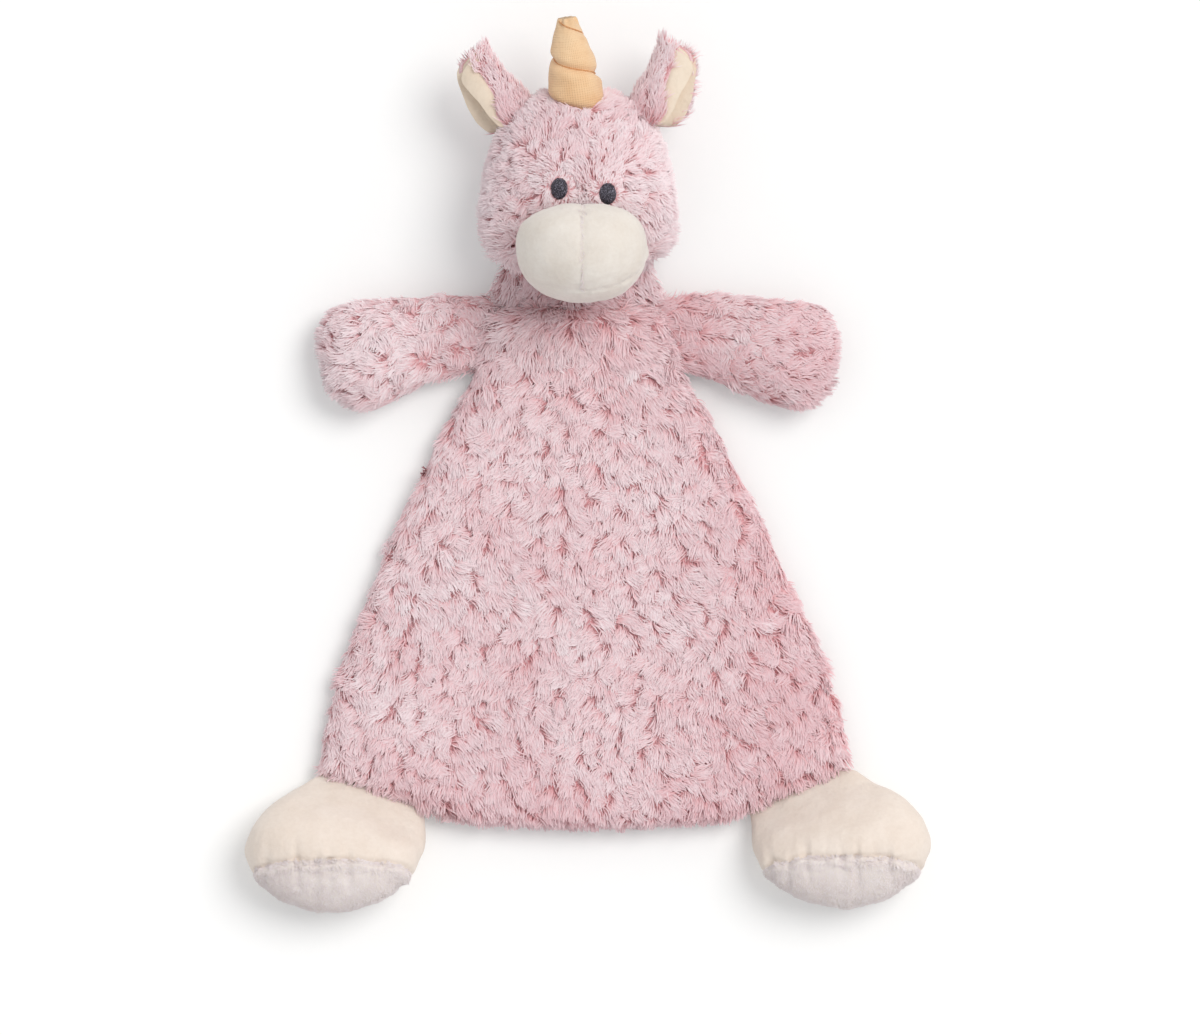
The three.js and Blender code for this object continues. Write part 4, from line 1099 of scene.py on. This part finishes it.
def make_arm(hand, looks):
    name = f"arm_{hand}"
    nodes = [f"{name}_{part}" for part in ("front", "back", "filling")]
    place, outwards = joint_frame(f"{name}_fold")
    along = lambda points: (points - place) @ outwards
    cover = stuffed(f"{name}_cover", nodes, PLUSH_INSET, [across_seam(nodes[:1], nodes[1:2])], levels=1)
    co = coords(cover.data)
    co -= outwards * (ARM_ROOT * (1 - smooth_step(along(co), -6 * MM, 12 * MM)))[:, None]
    set_coords(cover.data, co)
    dress(cover, looks["backing"], "plush", *nodes)
    flow = lambda points, normals: outwards * 0.9 + TO_HEM * 0.45 + np.cross(UP, outwards) * (
        0.3 * ripple(points, 35 * MM, 6))[:, None]
    end = along(coords(cover.data)).max()
    # The shade also deepens the pile near the arm's root: painted shade in the crease where it meets the
    # blanket
    fur = grow_fur(f"{name}_fur", cover, flow, hand=hand, **FURS["arm"],
                   pile=lambda p: PILE * (1 - 0.45 * smooth_step(along(p), end - HAND_TRIM, end)),
                   shade=lambda p, n: ARM_SHADES[hand] + 1.2 * (1 - smooth_step(along(p), 0, 15 * MM)),
                   loose=lambda p: 0.5 * smooth_step(along(p), end - 18 * MM, end - 4 * MM))
    for piece in (cover, *dress_fur(fur, looks["fur"])):
        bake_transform(piece)


def ear_axes(hand):
    """A place in the ear's cup, and the directions along the ear, outwards and up."""
    place, along = joint_frame(f"ear_{hand}_fold")
    outwards = unit(np.array([HANDS[hand], 0, 0]) - along[0] * HANDS[hand] * along)
    sin, cos = math.sin(EAR_TILTS[hand]), math.cos(EAR_TILTS[hand])
    axes = (along * cos - outwards * sin, outwards * cos + along * sin, UP)
    return place + outwards * EAR_SHIFTS[hand] + UP * EAR_RISE, axes


def ear_section(x):
    return [np.interp(x, EAR_SECTIONS["along"], EAR_SECTIONS[part])
            for part in ("out", "radius", "near", "far", "roll")]


def ear_layer(place, axes, inner, outer, inset, wrap=1):
    """The two sides of a cloth that is bent into a cup, as grids of points. across runs from -1 at the
    far side's edge to 1 at the near side's."""
    along, outwards, up = axes
    length = EAR_LENGTH - inset
    x = -EAR_ROOT + (length + EAR_ROOT) * np.sin(np.linspace(0, math.pi / 2, 36))
    out, radius, near, far, _ = ear_section(x)
    tip = np.maximum(x - length + EAR_ROUNDING, 0) / EAR_ROUNDING
    base = np.maximum(EAR_ROOT_ROUNDING - EAR_ROOT - x, 0) / EAR_ROOT_ROUNDING
    end = np.sqrt(np.maximum(1 - tip ** 2, 0)) * np.sqrt(np.maximum(1 - base ** 2, 0)) + 0.002
    across = np.sin(np.linspace(-math.pi / 2, math.pi / 2, 49))
    bend = np.where(across > 0, near[:, None], far[:, None]) * wrap * end[:, None] * across[None]
    turn = math.pi + EAR_FACING - bend
    sides = []
    for offset in (outer, inner):
        reach = radius[:, None] + offset(across[None], x[:, None])
        shift = outwards * (out[:, None] + reach * np.cos(turn))[..., None]
        sides.append(place + along * x[:, None, None] + shift
                     + up * (EAR_FLATNESS * reach * np.sin(turn))[..., None])
    return sides


def make_ear(hand, looks):
    name = f"ear_{hand}"
    place, axes = ear_axes(hand)
    along, outwards, _ = axes
    plush = ear_layer(place, axes, inner=lambda across, x: 0, outer=lambda across, x: EAR_THICKNESS, inset=0)
    back = shell(f"{name}_plush", *plush)
    dress(back, looks["backing"], "plush", f"{name}_back")

    def rolled(across, x):
        """The velour comes round the near side over the plush, and a little round the far one."""
        _, _, near, _, roll = ear_section(x)
        start = 1 - roll / near
        shown = smooth_step(across, start - 0.04, start + 0.06) + smooth_step(-across, 0.78, 0.98)
        return -0.2 * MM + (EAR_THICKNESS + EAR_LINING_THICKNESS) * shown

    def inside(across, x):
        filled = (6.5 - 4.0 * smooth_step(x, -4 * MM, 18 * MM)) * MM
        edge = 1.2 * np.abs(across) ** 4 + 0.8 * smooth_step(-across, 0.5, 1)
        return -1.6 * MM - edge * MM - filled * bell(across + 0.52, 0.36)

    lining = shell(f"{name}_velour", *ear_layer(place, axes, inside, rolled, 0.8 * MM, 1.04))
    subdivide(lining)
    dress(lining, looks["lining"], "cream_velour", f"{name}_lining")

    def keep(points, normals):
        off = points - place
        out, _, near, _, roll = ear_section(off @ along)
        radial = unit(np.stack([off @ outwards - out, off[:, 2] / EAR_FLATNESS], axis=1))
        bend = math.pi + EAR_FACING - np.arctan2(radial[:, 1], radial[:, 0]) % (2 * math.pi)
        faces = (normals @ outwards * radial[:, 0] + normals[:, 2] * radial[:, 1]) > 0.1
        return faces & (bend < near - 0.88 * roll) & (bend > -EAR_FUR_REACH[hand])

    near_root = lambda points: 1 - smooth_step((points - place) @ along, -8 * MM, 8 * MM)
    # The pile past the cup's outer rim is paler: painted light on the thin, back-lit rim
    beyond = lambda points: smooth_step((points - place) @ outwards, 9 * MM, 15 * MM)
    flow = lambda points, normals: along + outwards * 1.2 * beyond(points)[:, None]
    fur = grow_fur(f"{name}_fur", back, flow, hand=hand, keep=keep, loose=0.4, **FURS["ear"],
                   pile=lambda p: EAR_PILE + EAR_ROOT_PILE * near_root(p),
                   shade=lambda p, n: 1.4 * near_root(p) - 0.7 - 1.5 * beyond(p))
    furs = dress_fur(fur, looks["fur"])
    for piece in (back, lining, *furs):
        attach(piece, name)


def make_foot(hand, looks):
    name = f"foot_{hand}"
    upper, sole, filling = nodes = [f"{name}_{part}" for part in ("upper", "sole", "filling")]
    border = across_seam([upper], [sole])
    seam = lambda points: border(points) + SOLE_RISE
    foot = stuffed(f"{name}_cover", nodes, 0.3 * MM, [seam], voxel=3.4 * MM)
    co = coords(foot.data)
    across = seam(co) + 0.5 * MM * ripple(co, 12 * MM, 62)
    upright = 0.35 + 0.65 * smooth_step(vertex_normals(foot.data)[:, 2], 0, 0.5)
    groove = SEAM_GROOVE * upright * bell(across, 1.2 * MM)
    lip = SEAM_LIP * upright * bell(across - 2.6 * MM, 1.6 * MM)
    reach = np.where(across > 0, 9 * MM, 4 * MM)
    pucker = SEAM_PUCKER * np.maximum(ripple(co * [1, 0.3, 0.3], 7 * MM, 60), 0)
    pucker *= np.exp(-np.abs(across) / reach)
    soft = 0.25 * MM * ripple(co, 22 * MM, 61)
    set_coords(foot.data, co + vertex_normals(foot.data) * (lip + soft - groove - pucker)[:, None])
    dress(foot, looks["foot"], "cream_velour", upper, filling)
    cloth = patch(f"{name}_sole_cloth", foot, lambda co: seam(co) > -0.2 * MM, 0.12 * MM, 0.8 * MM)
    dress(cloth, looks["sole"], "sole_velour", sole)

    def keep(points, normals):
        on_sole = seam(points) + 0.6 * MM * ripple(points, 5 * MM, 63) > -0.3 * MM
        return on_sole & (points[:, 2] > 2 * MM)

    fur = grow_fur(f"{name}_sole_pile", foot, lambda p, n: SOLE_NAP, hand=hand, keep=keep, **FURS["sole"],
                   pile=lambda p: MM * (1.5 + 1.1 * bell(seam(p), 1.5 * MM)), shade=0.2,
                   loose=lambda p: smooth_step(seam(p), 2 * MM, 6 * MM) * 0.8)
    for piece in (foot, cloth, *dress_fur(fur, looks["pile"])):
        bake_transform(piece)


def make_eye(hand, looks):
    """Rows of satin stitches over a low pad."""
    node = f"eye_{hand}"
    low, high = (np.array(c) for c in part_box(node))
    centre, half = ((low + high) / 2)[:2], ((high - low) / 2)[:2]
    sin, cos = math.sin(EYE_TURNS[hand]), math.cos(EYE_TURNS[hand])
    way, step = np.array([cos, sin]), np.array([-sin, cos])
    reach = 1 / math.hypot(*(step / half))
    rng = np.random.default_rng(SEED + 80 + HANDS[hand])
    shares = np.linspace(0, 1, 9)
    arch = np.sin(math.pi * shares)
    pieces = []
    for layer in range(2):
        for row in range(EYE_STITCHES):
            off = step * reach * (2 * (row + 0.5) / EYE_STITCHES - 1) * 0.98
            # The row runs between the two points where its line crosses the eye's ellipse
            a, b, c = sum((way / half) ** 2), 2 * sum(way * off / half ** 2), sum((off / half) ** 2) - 1
            spread = math.sqrt(max(b * b - 4 * a * c, 0))
            slip = rng.uniform(-0.2, 0.2, 2) * MM
            start, end = (-b - spread) / (2 * a) + slip[0], (-b + spread) / (2 * a) + slip[1]
            t = start * (1 - shares) + end * shares
            sag = step * (rng.normal(0, 0.1 * MM) * arch)[:, None]
            flat = centre + off + way * t[:, None] + sag
            inside = np.clip(1 - (((flat - centre) / half) ** 2).sum(1), 0, 1)
            z = EYE_RISE * np.sqrt(inside) * (0.55 + 0.45 * layer) - EYE_SINKING
            z += [top_of(node, *p) for p in flat]
            radii = EYE_THREAD * (0.55 + 0.45 * arch) * rng.uniform(0.85, 1.1)
            pieces.append(tube(np.column_stack([flat, z]), radii, 6))
    eye = dress(joined(f"{node}_stitches", pieces), looks["eye"], "eye_thread", node)
    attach(eye, "head")


def main():
    set_camera()
    set_stage()
    looks = {
        "fur": blade_look("fur", FUR_RAMPS, 0.75, Sheen_Weight=0.4, Specular_IOR_Level=0.1,
                          Sheen_Tint=(*ROSE, 1)),
        "pile": blade_look("cream_pile", CREAM_PILE_RAMPS, 0.8, Sheen_Weight=1.0, Specular_IOR_Level=0.25),
        "backing": backing_look(),
        "velour": velour_look("cream_velour", CREAM),
        "lining": velour_look("lining_velour", LINING_CREAM),
        "foot": velour_look("foot_velour", FOOT_CREAM),
        "sole": velour_look("sole_velour", SOLE_CREAM, (1, 0.3, 0.3)),
        "horn": horn_look(),
        "eye": thread_look("eye_thread", SLATE, SLATE_GLINT, 0.5 * MM),
        "thread": thread_look("horn_thread", PEACH_THREAD, PEACH_GLINT, 0.8 * MM),
    }
    make_blanket(looks)
    make_neck(looks)
    muzzle = make_muzzle(looks)
    make_head(muzzle, looks)
    make_horn(looks)
    for hand in HANDS:
        make_arm(hand, looks)
        make_ear(hand, looks)
        make_foot(hand, looks)
        make_eye(hand, looks)


main()
